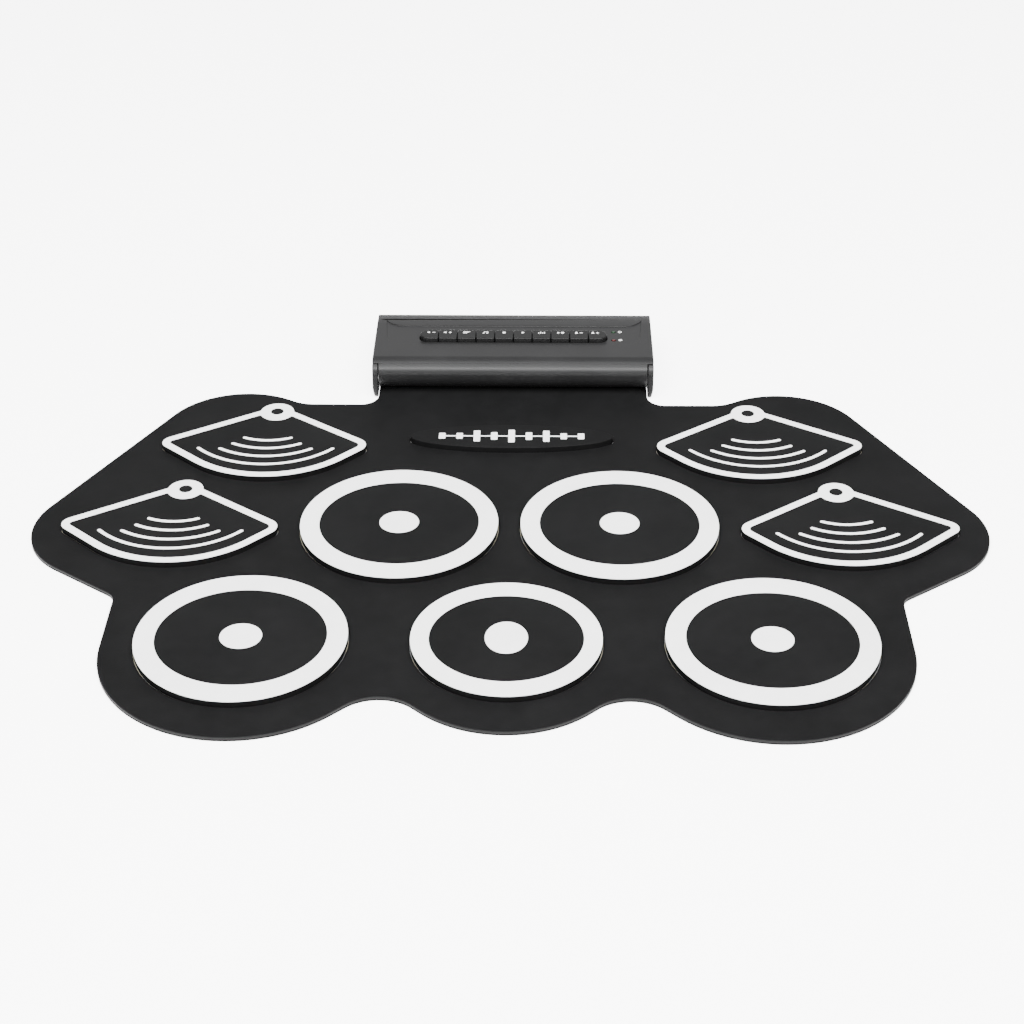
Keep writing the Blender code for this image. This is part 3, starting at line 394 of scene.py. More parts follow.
def board(name):  # solder mask over copper tracks
    recipe = Recipe(name)
    bricks = {"Vector": recipe.place, "Scale": 420.0, "Mortar Size": 0.03}
    track = recipe.add("ShaderNodeTexBrick", None, bricks, output="Fac")
    mask = recipe.over(recipe.noise(3, 3), 0.35, 0.65)
    shade = mask * 0.5 + track * 0.5
    recipe.set(Base_Color=recipe.mix((0.010, 0.075, 0.030), (0.022, 0.13, 0.055), shade))
    recipe.set(Roughness=0.32 + 0.1 * mask)
    recipe.bump(track, 0.03)
    return recipe.material


def film(name):  # printed membrane
    recipe = Recipe(name)
    printed = recipe.over(recipe.noise(9, 2), 0.48, 0.52)
    recipe.set(Base_Color=recipe.mix((0.45, 0.42, 0.33), (0.30, 0.30, 0.31), printed))
    recipe.set(Roughness=0.25 + 0.15 * printed)
    recipe.bump(printed, 0.01)
    return recipe.material


finishes = {
    "sheet": silicone("matSilicone", siliconeLook["sheet"]),
    "pad": silicone("padSilicone", siliconeLook["pad"]),
    "white": silicone("whiteSilicone", siliconeLook["white"]),
    "rubber": silicone("footRubber", siliconeLook["rubber"]),
    "housing": plastic("housingAbs", plasticLook["housing"]),
    "key": plastic("keyAbs", plasticLook["key"]),
    "socket": plastic("socketBlack", plasticLook["socket"]),
    "nickel": metal("nickelPlate", metalLook["nickel"]),
    "gold": metal("goldContact", metalLook["gold"]),
    "steel": metal("zincSteel", metalLook["steel"]),
    "ink": ink("whiteInk"),
    "redLens": lens("redLens", (0.03, 0.006, 0.006), (0.06, 0.010, 0.010)),
    "greenLens": lens("greenLens", (0.008, 0.022, 0.010), (0.014, 0.04, 0.018)),
    "board": board("solderMask"),
    "film": film("membraneFilm"),
}
print("finishes mixed:", len(finishes))


# the mat: two welded sheets of silicone with a printed film between them
mat = {
    "middleLobe": (0.0, -55.3, 51.0),  # discs the edge runs round, right half: x, y, radius
    "rightSide": (
        (52.3, -103.6, -20.0), (113.7, -50.2, 61.0), (182.8, -15.6, -8.0), (182.0, 43.0, 40.0),
        (135.5, 130.6, 40.0), (101.4, 180.1, -20.0),
    ),
    "neckCorner": 9.0,
    "neckRoot": 160.0,
    "neckEnd": 190.0,
    "neckEndCorner": 8.0,
    "rim": 0.42,       # rounding of the top sheet's edge
    "baseRim": 0.22,
    "seam": 0.01,      # between the two sheets at the weld
    "margin": 5.85,    # width of the weld
    "film": 0.95,      # top of the pocket that holds the film
    "fit": 0.3,        # round each pad
    "tail": 18.3,      # half the width of the film's tail
    "tailRoot": 178.0,
    "pegs": (54.0, 30.0, 1.8, 187.0),  # x, x, radius, y
}


def matPoints(grow=0.0):
    half = noseHalf / mm
    corner, endCorner = mat["neckCorner"], mat["neckEndCorner"]
    right = list(mat["rightSide"])
    right.append((half + corner, mat["neckRoot"] + corner, -corner))
    right.append((half - endCorner, mat["neckEnd"] - endCorner, endCorner))
    left = [(-x, y, radius) for x, y, radius in reversed(right)]
    outline = beltPoints([mat["middleLobe"], *right, *left], grow, 6.0)
    return shifted(outline, *toPlace(0.0, 0.0))


def pegPoints():
    outer, inner, radius, y = mat["pegs"]
    return [ovalPoints(toPlace(x, y), radius, radius, 24) for x in (-outer, -inner, inner, outer)]


cymbal = {
    "point": (0.0, 0.0, 4.9),  # discs the fan's edge runs round, from the hub: x outboard, y, radius
    "left": (-40.4, -32.5, 6.7),
    "front": (1.1, -10.4, 51.9),
    "right": (47.9, -30.6, 5.6),
    "hub": (0.0, -0.5, 8.5),
    "hole": 3.2,
    "fillet": 1.0,
    "windowCorner": 0.8,
    "band": 3.8,
    "stripX": 2.0,
    "stripWidth": 1.8,
    "stripY": -28.5,
    "stripPitch": 7.5,
    "strips": ((27.0, 25.0), (33.0, 30.0), (39.0, 35.0), (44.0, 48.5)),  # radius, half angle
}
cymbalReach = cymbal["hub"][1] + cymbal["hub"][2]  # from the fan's origin back to its rear edge
cymbalInner = cymbal["left"][0] - cymbal["left"][2]  # and inboard to its side


def cymbalPlace(name):
    low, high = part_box(f"{name}_pad")
    side = 1 if low.x > 0 else -1
    x = (low.x if side > 0 else high.x) / mm - side * cymbalInner
    return x, high.y / mm - cymbalReach, side


# the disc that rounds the corner between a straight run and the hub
def hubCorner(start, end, hub, radius, leaving):
    heading = runHeading(start, end)
    along = Vector((math.cos(heading), math.sin(heading)))
    outwards = Vector((math.sin(heading), -math.cos(heading)))
    base = Vector(start[:2]) + (start[2] - radius) * outwards
    away = base - Vector(hub[:2])
    reach = away.dot(along)
    root = math.sqrt(reach**2 - away.length_squared + (hub[2] - radius) ** 2)
    centre = base + (root - reach if leaving else -root - reach) * along
    return centre.x, centre.y, radius


def fanDiscs(band, hub, corner):
    corners = [cymbal[key] for key in ("point", "left", "front", "right")]
    point, left, front, right = [(x, y, radius - band) for x, y, radius in corners]
    arriving = hubCorner(right, point, hub, corner, False)
    leaving = hubCorner(point, left, hub, corner, True)
    return [hub, leaving, left, front, right, arriving]


def fanPoints(grow=0.0):
    return beltPoints(fanDiscs(0.0, cymbal["hub"], -cymbal["fillet"]), grow, 12.0)


def windowPoints(grow=0.0):
    x, y, radius = cymbal["hub"]
    return beltPoints(fanDiscs(cymbal["band"], (x, y, -radius), cymbal["windowCorner"]), grow, 12.0)


def stripPoints(index, grow=0.0):
    radius, halfAngle = cymbal["strips"][index]
    centre = (cymbal["stripX"], cymbal["stripY"] - index * cymbal["stripPitch"] + radius)
    half = cymbal["stripWidth"] / 2 + grow
    first, last = -90.0 - halfAngle, -90.0 + halfAngle
    ends = [arcPoints(centre, radius, angle, angle)[0] for angle in (first, last)]
    outline = arcPoints(centre, radius + half, first, last, 4.0)
    outline += arcPoints(ends[1], half, last, last + 180.0, 20.0)[1:-1]
    outline += arcPoints(centre, radius - half, last, first, 4.0)
    outline += arcPoints(ends[0], half, first + 180.0, first + 360.0, 20.0)[1:-1]
    return outline


nameplate = {
    "rim": 0.45,
    "proud": 0.08,     # the mark stands this far above the plate
    "keyed": 0.2,      # and reaches this far into it
    "bars": 9,
    "pitch": 8.6,
    "bar": 3.2,
    "barCorner": 0.5,
    "barEdge": 0.1,
    "line": 0.9,       # the thin line through the bars
    "lineDrop": 0.01,  # lies this far below their tops
    "tall": 11.0,
    "short": 6.5,
}


def nameplatePoints(grow=0.0):
    centre, size = middleOf("nameplate") / mm, sizeOf("nameplate") / mm
    return ovalPoints((centre.x, centre.y), size.x / 2 + grow, size.y / 2 + grow, 160)


def makeMat():
    wells = []
    for name in drumNames:
        centre = middleOf(f"{name}_pad") / mm
        radius = sizeOf(f"{name}_pad").x / 2 / mm + mat["fit"]
        wells.append(ovalPoints((centre.x, centre.y), radius, radius))
    for name in cymbalNames:
        x, y, side = cymbalPlace(name)
        wells.append(shifted(fanPoints(mat["fit"]), x, y, side))
    wells.append(nameplatePoints(mat["fit"]))
    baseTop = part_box("base_sheet")[1].z / mm
    base = platePiece([matPoints(), *pegPoints()], 0.0, baseTop, mat["baseRim"])
    settle(base, "baseSheet", "kit", "silicone", finishes["sheet"], "base_sheet")
    low = baseTop + mat["seam"]
    sheet = platePiece([matPoints(), *wells, *pegPoints()], low, sheetTop / mm, mat["rim"], rimSteps=3)
    pocket = platePiece([matPoints(-mat["margin"])], -1.0, mat["film"])
    end = toPlace(0.0, mat["neckEnd"] + 1.0)[1]
    root = toPlace(0.0, mat["tailRoot"])[1]
    tailWay = platePiece([boxPoints(-mat["tail"], mat["tail"], root, end)], -1.0, mat["film"])
    cutAway(sheet, pocket, tailWay)
    settle(sheet, "topSheet", "kit", "silicone", finishes["sheet"], "top_sheet")
    print("mat sheets made")


# struck pads: a black body, and white silicone moulded into its face
drum = {
    "ringInner": (0.806, 0.751),  # shares of the pad's radius, x and y
    "dot": (0.2, 0.2),
    "centreDot": (0.225, 0.28),
    "white": 0.4,    # thickness of the white layer
    "dip": 0.05,     # the black face lies this far below the white
    "gap": 0.03,     # witness line between the two shots
    "edge": 0.14,
    "foot": 0.3,     # rounding at the foot of the body
    "sunk": 0.15,    # pieces of the face reach this far into the body
    "lift": 0.01,    # the white layer starts this far above it
}
whiteLow = padTop / mm - drum["white"]
faceTop = padTop / mm - drum["dip"]


def settlePad(name, bodyParts, whiteParts):
    pad = joined(f"{name}Pad", bodyParts)
    settle(pad, f"{name}Pad", f"{name}_pad", "silicone", finishes["pad"], f"{name}_pad")
    inlay = joined(f"{name}White", whiteParts)
    settle(inlay, f"{name}White", f"{name}_pad", "inlay", finishes["white"], f"{name}_inlay")


def facePiece(loops, top):  # a piece of the pad's face, set into the body
    return platePiece(loops, whiteLow - drum["sunk"], top, drum["edge"])


def layerPiece(loops):  # the white layer that runs out to the pad's edge
    return platePiece(loops, whiteLow + drum["lift"], padTop / mm, drum["edge"])


def makeDrums():
    gap, top = drum["gap"], padTop / mm
    for name in drumNames:
        place = tuple(middleOf(f"{name}_pad") / mm)[:2]
        radius = sizeOf(f"{name}_pad").x / 2 / mm
        innerX, innerY = (share * radius for share in drum["ringInner"])
        dotX, dotY = (share * radius for share in drum["centreDot" if name == "centre" else "dot"])
        body = platePiece([ovalPoints(place, radius, radius)], padLow / mm, whiteLow, drum["foot"])
        dotHole = ovalPoints(place, dotX + gap, dotY + gap, 64)
        face = facePiece([ovalPoints(place, innerX - gap, innerY - gap), dotHole], faceTop)
        ring = layerPiece([ovalPoints(place, radius, radius), ovalPoints(place, innerX, innerY)])
        dot = facePiece([ovalPoints(place, dotX, dotY, 64)], top)
        settlePad(name, [body, face], [ring, dot])
    print("drum pads made")


def makeCymbals():
    gap, top, hole = drum["gap"], padTop / mm, cymbal["hole"]
    count = range(len(cymbal["strips"]))
    for name in cymbalNames:
        x, y, side = cymbalPlace(name)
        body = platePiece([shifted(fanPoints(), x, y, side)], padLow / mm, whiteLow, drum["foot"])
        faceLoops = [windowPoints(-gap)] + [stripPoints(index, gap) for index in count]
        face = facePiece([shifted(loop, x, y, side) for loop in faceLoops], faceTop)
        eye = facePiece([ovalPoints((x, y), hole - gap, hole - gap, 40)], faceTop)
        frameLoops = [fanPoints(), windowPoints(), circlePoints((0.0, 0.0), hole, 40)]
        white = [layerPiece([shifted(loop, x, y, side) for loop in frameLoops])]
        white += [facePiece([shifted(stripPoints(index), x, y, side)], top) for index in count]
        settlePad(name, [body, face, eye], white)
    print("cymbal pads made")


def makeNameplate():
    centre, size = middleOf("nameplate").y / mm, nameplate
    top = padTop / mm
    body = platePiece([nameplatePoints()], padLow / mm, top - size["proud"], size["rim"], rimSteps=3)
    settle(body, "nameplateBody", "kit", "silicone", finishes["pad"], "nameplate")
    length, half = (size["bars"] - 1) * size["pitch"] / 2, size["line"] / 2
    low = top - size["proud"] - size["keyed"]
    line = boxPoints(-length, length, centre - half, centre + half)
    parts = [platePiece([line], low, top - size["lineDrop"], size["barEdge"])]
    for index in range(size["bars"]):
        share = abs(index - (size["bars"] - 1) / 2) / (size["bars"] / 2)
        rise = (size["tall"] if index % 2 == 0 else size["short"]) * math.cos(share * math.pi / 2) ** 0.5
        rise = (rise + size["line"]) / 2
        x, half = index * size["pitch"] - length, size["bar"] / 2
        loop = boxPoints(x - half, x + half, centre - rise, centre + rise, size["barCorner"])
        parts.append(platePiece([loop], low, top, size["barEdge"]))
    mark = joined("levelMark", parts)
    settle(mark, "levelMark", "kit", "inlay", finishes["white"], "nameplate_mark")
    print("nameplate made")


# the controller's housing
shellLow, shellHigh = (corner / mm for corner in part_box("upper_shell"))
housing = {
    "noseRoll": 8.0,      # radius of the rounded front
    "rearRoll": 4.0,
    "bottomRoll": 2.0,
    "crownRadius": 80.0,  # the lid falls away a little towards the back
    "crownAngle": 8.0,
    "wall": 1.8,
    "lip": 2.0,
    "seamAngle": 50.0,    # where the lid ends on the nose, above each cheek
    "lidEdge": 0.55,
    "fit": 0.3,
    "edge": 0.18,         # on every cut edge
    "cheekEdge": 0.6,
    "cheekTuck": 1.2,     # the cheeks draw in towards the table
    "tuckHeight": 6.0,
    "tuckRows": 6,
    "heel": 1.8,          # and lean forward to it
    "toe": 1.0,
    "panelDepth": 0.5,
    "panelFront": 193.0,
    "panelBack": 213.4,
    "panelHalf": 58.0,
    "panelRound": 8.0,
    "panelFlare": 10.0,
    "panelEdge": 0.3,
}


def noseCentre():
    return shellLow.y + housing["noseRoll"], shellHigh.z - housing["noseRoll"]


def rearCentre():
    drop = housing["crownRadius"] * (1 - math.cos(math.radians(housing["crownAngle"])))
    rise = housing["rearRoll"] * math.sin(math.radians(90.0 - housing["crownAngle"]))
    return shellHigh.y - housing["rearRoll"], shellHigh.z - drop - rise


# over the nose roll, the lid, its crown and the rear roll
def topPoints(inset, startAngle, endAngle):
    noseY, noseZ = noseCentre()
    rearY, rearZ = rearCentre()
    crown, tilt = housing["crownRadius"], 90.0 - housing["crownAngle"]
    crownY = rearY + (housing["rearRoll"] - crown) * math.cos(math.radians(tilt))
    points = arcPoints((noseY, noseZ), housing["noseRoll"] - inset, startAngle, 90.0, 4.0)
    points += arcPoints((crownY, shellHigh.z - crown), crown - inset, 90.0, tilt, 1.0)
    return points + arcPoints((rearY, rearZ), housing["rearRoll"] - inset, tilt, endAngle, 6.0)[1:]


# closed across the bottom, from the lip under the nose to the parting line; the hollow runs on downwards
def shellSection(inset=0.0):
    chin = (shellLow.y + housing["noseRoll"], shellLow.z + housing["noseRoll"])
    rear, lip = shellHigh.y - inset, chin[0] + housing["lip"]
    points = arcPoints(chin, housing["noseRoll"] - inset, 270.0, 180.0, 4.0)
    points += topPoints(inset, 180.0, 0.0)[1:]
    if inset:
        way, below = lip + 1.0, -2.0
        return points + [(rear, below), (way, below), (way, shellLow.z + inset)]
    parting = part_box("lower_shell")[1].z / mm + housing["fit"]
    return points + [(rear, parting), (lip, parting), (lip, shellLow.z)]


def lidSeam():
    return noseCentre()[1] + housing["noseRoll"] * math.sin(math.radians(housing["seamAngle"]))


def panelPoints():
    half = housing["panelHalf"]
    front = toPlace(0.0, housing["panelFront"] + housing["panelRound"])[1]
    back = toPlace(0.0, housing["panelBack"] + housing["panelFlare"])[1]
    right = arcPoints((half, front), housing["panelRound"], -90.0, 0.0, 6.0)
    right += arcPoints((half, back), housing["panelFlare"], -20.0, -90.0, 6.0)
    return right + [(-x, y) for x, y in reversed(right)]


keyRow = {
    "cap": 4.55,        # half the depth of a key's top
    "corner": 0.7,
    "topEdge": 0.5,
    "low": 15.95,       # underside of the cap
    "flangeLow": 15.6,  # the flange holds the key under the lid
    "flangeHigh": 17.4,
    "flangeInset": 0.15,
    "flangeCorner": 0.4,
    "post": 1.6,
    "postLap": 0.3,
    "endGap": 0.15,
    "print": 0.05,      # thickness of the printed signs
    "printShy": 0.005,
    "signY": 1.5,       # signs stand this far behind a key's middle
    "endNudge": 1.2,    # and the outer two this far inwards
}


def slotPoints():
    first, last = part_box(keyNames[0])[0].x / mm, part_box(keyNames[-1])[1].x / mm
    y = middleOf(keyNames[0]).y / mm
    radius = keyRow["cap"] + housing["fit"]
    straight = (last - first) / 2 + keyRow["endGap"] - keyRow["cap"]
    right = arcPoints((straight, y), radius, -90.0, 90.0, 8.0)
    return right + arcPoints((-straight, y), radius, 90.0, 270.0, 8.0)


openings = {
    "lamp": 1.3,             # radius
    "jack": 2.9,             # radius
    "usb": (4.3, 1.8),       # half width, half height
    "slider": (3.55, 1.4),
    "sliderShift": 1.25,     # the switch rests at one end of its slot
    "corner": 0.5,
    "over": 2.0,             # cutters reach this far past the face
    "under": 4.0,            # and this far in
}


def connectorZ():
    return middleOf("power_slider").z / mm


def makeShell():
    shell = runPiece(shellSection(), shellLow.x, shellHigh.x, housing["lidEdge"])
    half, past = noseHalf / mm, 5.0
    cutAway(shell, runPiece(shellSection(housing["wall"]), -half, half))
    cheekSpace = boxPoints(shellLow.y - past, shellHigh.y + past, -past, lidSeam())
    end = shellHigh.x + past
    cutAway(shell, runPiece(cheekSpace, half, end), runPiece(cheekSpace, -end, -half))
    over, under = shellHigh.z + openings["over"], shellHigh.z - openings["under"]
    panelFloor, panelEdge = shellHigh.z - housing["panelDepth"], housing["panelEdge"]
    cutAway(shell, platePiece([panelPoints()], panelFloor, over + openings["over"], panelEdge))
    cutAway(shell, platePiece([slotPoints()], under, over))
    for node in ("power_lamp", "record_lamp"):
        middle, radius = middleOf(node) / mm, openings["lamp"]
        cutAway(shell, platePiece([circlePoints((middle.x, middle.y), radius, 32)], under, over))
    front, back, z = shellHigh.y - openings["under"], shellHigh.y + openings["over"] / 2, connectorZ()
    for node in jacks:
        x, radius = middleOf(node).x / mm, openings["jack"]
        cutAway(shell, backPiece([circlePoints((x, z), radius, 40)], front, back))
    for node, kind, shift in (("usb_socket", "usb", 0.0), ("power_slider", "slider", openings["sliderShift"])):
        x = middleOf(node).x / mm + shift
        wide, rise = openings[kind]
        loop = boxPoints(x - wide, x + wide, z - rise, z + rise, openings["corner"])
        cutAway(shell, backPiece([loop], front, back))
    roundEdges(shell, housing["edge"])
    settle(shell, "controllerShell", "kit", "housing", finishes["housing"], "upper_shell")


def makeCheeks():
    top, toe = lidSeam() - housing["fit"], housing["toe"]
    rearY, rearZ = rearCentre()
    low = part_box("left_cheek")[0].z / mm
    noseY, noseZ = noseCentre()
    heel = (shellHigh.y - housing["bottomRoll"], low + housing["bottomRoll"])
    frontAngle = 180.0 - math.degrees(math.asin((top - noseZ) / housing["noseRoll"]))
    rearAngle = math.degrees(math.asin((top - rearZ) / housing["rearRoll"]))
    section = arcPoints((shellLow.y - housing["heel"] + toe, low + toe), toe, 190.0, 270.0, 15.0)
    section += arcPoints(heel, housing["bottomRoll"], 270.0, 360.0, 9.0)
    section += arcPoints((rearY, rearZ), housing["rearRoll"], 0.0, rearAngle, 9.0)
    section += arcPoints((noseY, noseZ), housing["noseRoll"], frontAngle, 180.0, 5.0)
    for name, node, side in (("leftCheek", "left_cheek", -1), ("rightCheek", "right_cheek", 1)):
        left, right = (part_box(node)[end].x / mm for end in (0, 1))
        cheek = runPiece(section, left, right, housing["cheekEdge"])
        tuckIn(cheek, low, side)
        settle(cheek, name, "kit", "housing", finishes["housing"], node)


# rows are cut across the cheek, then its outer face is drawn in below them
def tuckIn(cheek, low, side):
    reach, rows = housing["tuckHeight"], housing["tuckRows"]
    selectOnly(cheek)
    bpy.ops.object.mode_set(mode="EDIT")
    for row in range(1, rows + 1):
        bpy.ops.mesh.select_all(action="SELECT")
        level = (low + reach * row / rows) * mm
        bpy.ops.mesh.bisect(plane_co=(0.0, 0.0, level), plane_no=(0.0, 0.0, 1.0))
    bpy.ops.object.mode_set(mode="OBJECT")
    middle = sum(vertex.co.x for vertex in cheek.data.vertices) / len(cheek.data.vertices)
    for vertex in cheek.data.vertices:
        depth = 1 - (vertex.co.z / mm - low) / reach
        if depth > 0 and side * (vertex.co.x - middle) > 0:
            vertex.co.x -= side * housing["cheekTuck"] * mm * depth**2


tray = {
    "frontRise": 3.0,                         # of the front wall above the floor
    "recess": (-22.0, 22.0, 142.0, 160.0),    # for a label: left, right, front, back
    "recessDepth": 0.35,
    "recessCorner": 2.0,
    "fit": 0.3,
    "wells": {"screw": 1.8, "foot": 0.9},     # depths
}


def makeTray():
    low, high = (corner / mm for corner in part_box("lower_shell"))
    wall = housing["wall"]
    heel = (high.y - housing["bottomRoll"], low.z + housing["bottomRoll"])
    frontTop = low.z + wall + tray["frontRise"]
    section = [(low.y, low.z)] + arcPoints(heel, housing["bottomRoll"], 270.0, 360.0, 9.0)
    section += [(high.y, high.z), (high.y - wall, high.z), (high.y - wall, low.z + wall)]
    section += [(low.y + wall, low.z + wall), (low.y + wall, frontTop), (low.y, frontTop)]
    shell = runPiece(section, low.x, high.x)
    left, right, front, back = tray["recess"]
    label = platePiece([boxPoints(left, right, front, back, tray["recessCorner"])], -1.0,
                       low.z + tray["recessDepth"])
    cutAway(shell, label)
    for number in range(1, 5):
        for kind, depth in tray["wells"].items():
            middle = middleOf(f"{kind}_{number}") / mm
            radius = sizeOf(f"{kind}_{number}").x / 2 / mm + tray["fit"]
            loop = circlePoints((middle.x, middle.y), radius, 40)
            cutAway(shell, platePiece([loop], -1.0, low.z + depth))
    roundEdges(shell, housing["edge"])
    settle(shell, "controllerTray", "kit", "housing", finishes["housing"], "lower_shell")
    print("housing made")


# white printed signs for the keys, in mm round each sign's middle
def crossPoints(arm, half):
    quarter = [(half, arm), (half, half), (arm, half)]
    points = []
    for turn in range(4):
        angle = -turn * math.pi / 2
        points += [(x * math.cos(angle) - y * math.sin(angle), x * math.sin(angle) + y * math.cos(angle))
                   for x, y in quarter]
    return points[::-1]


def barPoints(x, y, width, height):
    return boxPoints(x - width / 2, x + width / 2, y - height / 2, y + height / 2)


def playPoints(x, size):
    return [(x - size * 0.6, -size), (x + size, 0.0), (x - size * 0.6, size)]


speaker = [(-2.2, -0.4), (-1.6, -0.4), (-0.9, -0.95), (-0.9, 0.95), (-1.6, 0.4), (-2.2, 0.4)]
metronome = [(-2.1, -0.9), (-0.5, -0.9), (-0.95, 0.95), (-1.65, 0.95)]
minus = barPoints(1.1, 0.0, 1.5, 0.4)
plus = shifted(crossPoints(0.75, 0.2), 1.1, 0.0)
noteHeads = [ovalPoints((x, -0.65), 0.5, 0.38, 20) for x in (-1.0, 0.9)]
noteStems = [(-0.72, -0.55), (-0.5, -0.55), (-0.5, 0.55), (1.18, 0.55), (1.18, -0.55), (1.4, -0.55)]
noteStems += [(1.4, 0.95), (-0.72, 0.95)]
levels = (0.9, 1.8, 1.2, 1.6)
keySigns = (
    [speaker, minus],
    [speaker, plus],
    [barPoints(0.0, 0.75, 3.6, 0.4), barPoints(-0.4, 0.0, 2.8, 0.4), barPoints(-0.8, -0.75, 2.0, 0.4)],
    [*noteHeads, noteStems],
    [circlePoints((0.0, 0.0), 0.85, 28)],
    [playPoints(0.0, 0.95)],
    [barPoints(-1.5 + index, -0.9 + rise / 2, 0.5, rise) for index, rise in enumerate(levels)],
    [playPoints(-1.0, 0.85), barPoints(1.2, 0.0, 1.5, 1.5)],
    [metronome, minus],
    [metronome, plus],
)


def makeKeys():
    cap, corner, hair = keyRow["cap"], keyRow["corner"], 0.001
    last = len(keyNames) - 1
    for index, node in enumerate(keyNames):
        low, high = (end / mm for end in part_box(node))
        middle, y = (low.x + high.x) / 2, (low.y + high.y) / 2
        left = cap if index == 0 else corner  # the outer keys have round ends
        right = cap if index == last else corner
        discs = [(low.x + left, y - cap + left, left), (high.x - right, y - cap + right, right),
                 (high.x - right, y + cap - right + hair, right), (low.x + left, y + cap - left + hair, left)]
        top, flangeLow = high.z - keyRow["print"], keyRow["flangeLow"]
        body = platePiece([beltPoints(discs, 0.0, 10.0)], keyRow["low"], top, keyRow["topEdge"], rimSteps=3)
        inset = keyRow["flangeInset"]
        rim = boxPoints(low.x + inset, high.x - inset, low.y, high.y, keyRow["flangeCorner"])
        flange = platePiece([rim], flangeLow, keyRow["flangeHigh"])
        disc = ovalPoints((middle, y), keyRow["post"], keyRow["post"], 24)
        post = platePiece([disc], low.z, flangeLow + keyRow["postLap"])
        number = f"{index + 1:02d}"
        settle(joined("keyCap", [body, flange, post]), f"keyCap{number}", node, "key", finishes["key"], node)
        nudge = keyRow["endNudge"] * ((index == 0) - (index == last))
        place = (middle + nudge, y + keyRow["signY"])
        signs = [platePiece([shifted(loop, *place)], top - keyRow["print"], high.z - keyRow["printShy"])
                 for loop in keySigns[index]]
        settle(joined("keySign", signs), f"keySign{number}", node, "key", finishes["ink"])
    print("keys made")


lamp = {
    "radius": 1.0,
    "dome": 0.32,       # height
    "tints": {"power": "greenLens", "record": "redLens"},
    "signX": 3.4,       # signs stand this far to the right of the lamps
    "signLow": 0.05,    # below the panel
    "signHigh": 0.04,   # and above it
    "ring": 0.95,
    "powerInner": 0.62,
    "powerGap": 35.0,   # half angle of the opening at its top
    "powerStem": (0.75, 0.32, 1.0),  # height of its middle, width, length
    "recordInner": 0.68,
    "recordDot": 0.4,
}


def makeLamps():
    radius = lamp["radius"]
    for kind, tint in lamp["tints"].items():
        low, high = (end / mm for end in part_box(f"{kind}_lamp"))
        x, y = (low.x + high.x) / 2, (low.y + high.y) / 2
        level = high.z - lamp["dome"]
        centre = (x * mm, y * mm, level * mm)
        selectNone()
        bpy.ops.mesh.primitive_uv_sphere_add(segments=40, ring_count=20, radius=radius * mm, location=centre)
        dome = bpy.context.object
        bpy.ops.object.mode_set(mode="EDIT")
        bpy.ops.mesh.select_all(action="SELECT")
        bpy.ops.mesh.bisect(plane_co=centre, plane_no=(0.0, 0.0, 1.0), clear_inner=True, use_fill=True)
        bpy.ops.mesh.select_all(action="SELECT")
        bpy.ops.transform.resize(value=(1.0, 1.0, lamp["dome"]), center_override=centre)
        bpy.ops.object.mode_set(mode="OBJECT")
        bpy.ops.object.transform_apply(location=True, rotation=True, scale=True)
        stem = platePiece([circlePoints((x, y), radius, 40)], low.z, level)
        settle(joined("lamp", [dome, stem]), f"{kind}Lamp", "kit", "lamp", finishes[tint], f"{kind}_lamp")
    power, record = middleOf("power_lamp") / mm, middleOf("record_lamp") / mm
    panelZ, x, ring = shellHigh.z - housing["panelDepth"], power.x + lamp["signX"], lamp["ring"]
    first, last = 90.0 + lamp["powerGap"], 450.0 - lamp["powerGap"]
    gapRing = arcPoints((x, power.y), ring, first, last, 12.0)
    gapRing += arcPoints((x, power.y), lamp["powerInner"], last, first, 12.0)
    rise, width, length = lamp["powerStem"]
    inner, dot = lamp["recordInner"], lamp["recordDot"]
    target = [circlePoints((x, record.y), ring, 40), circlePoints((x, record.y), inner, 40)]
    loops = [[gapRing], [barPoints(x, power.y + rise, width, length)], target,
             [circlePoints((x, record.y), dot, 24)]]
    signs = [platePiece(loop, panelZ - lamp["signLow"], panelZ + lamp["signHigh"]) for loop in loops]
    settle(joined("signs", signs), "panelSigns", "kit", "housing", finishes["ink"])
    print("lamps made")


jack = {
    "body": 5.4,       # width
    "bodyCorner": 0.4,
    "bodyEdge": 0.2,
    "bodyBack": 3.4,   # the body ends this far inside the housing's back
    "nose": 2.6,
    "noseLength": 6.0,
    "noseEdge": 0.15,
    "bore": 1.8,
    "collar": 2.35,
    "collarFit": 0.02,
    "collarLength": 1.2,
    "collarProud": 0.12,
    "collarEdge": 0.1,
    "spring": (0.5, 1.0, 1.5, 2.0),  # half width, low and high above the axis, depth of its near end
}
usb = {
    "rise": 1.5,
    "wall": 0.4,
    "corner": 0.7,
    "edge": 0.1,
    "stop": 1.1,
    "lap": 0.1,
    "tongue": (2.0, -0.1, 0.55, 0.8, 0.08),  # half width, low, high, depth of its end, edge
    "contacts": 5,
    "pitch": 0.75,
    "contact": (0.18, -0.16, -0.08, 0.6, 1.1),  # half width, low, high, start behind the stop, depth of its end
}


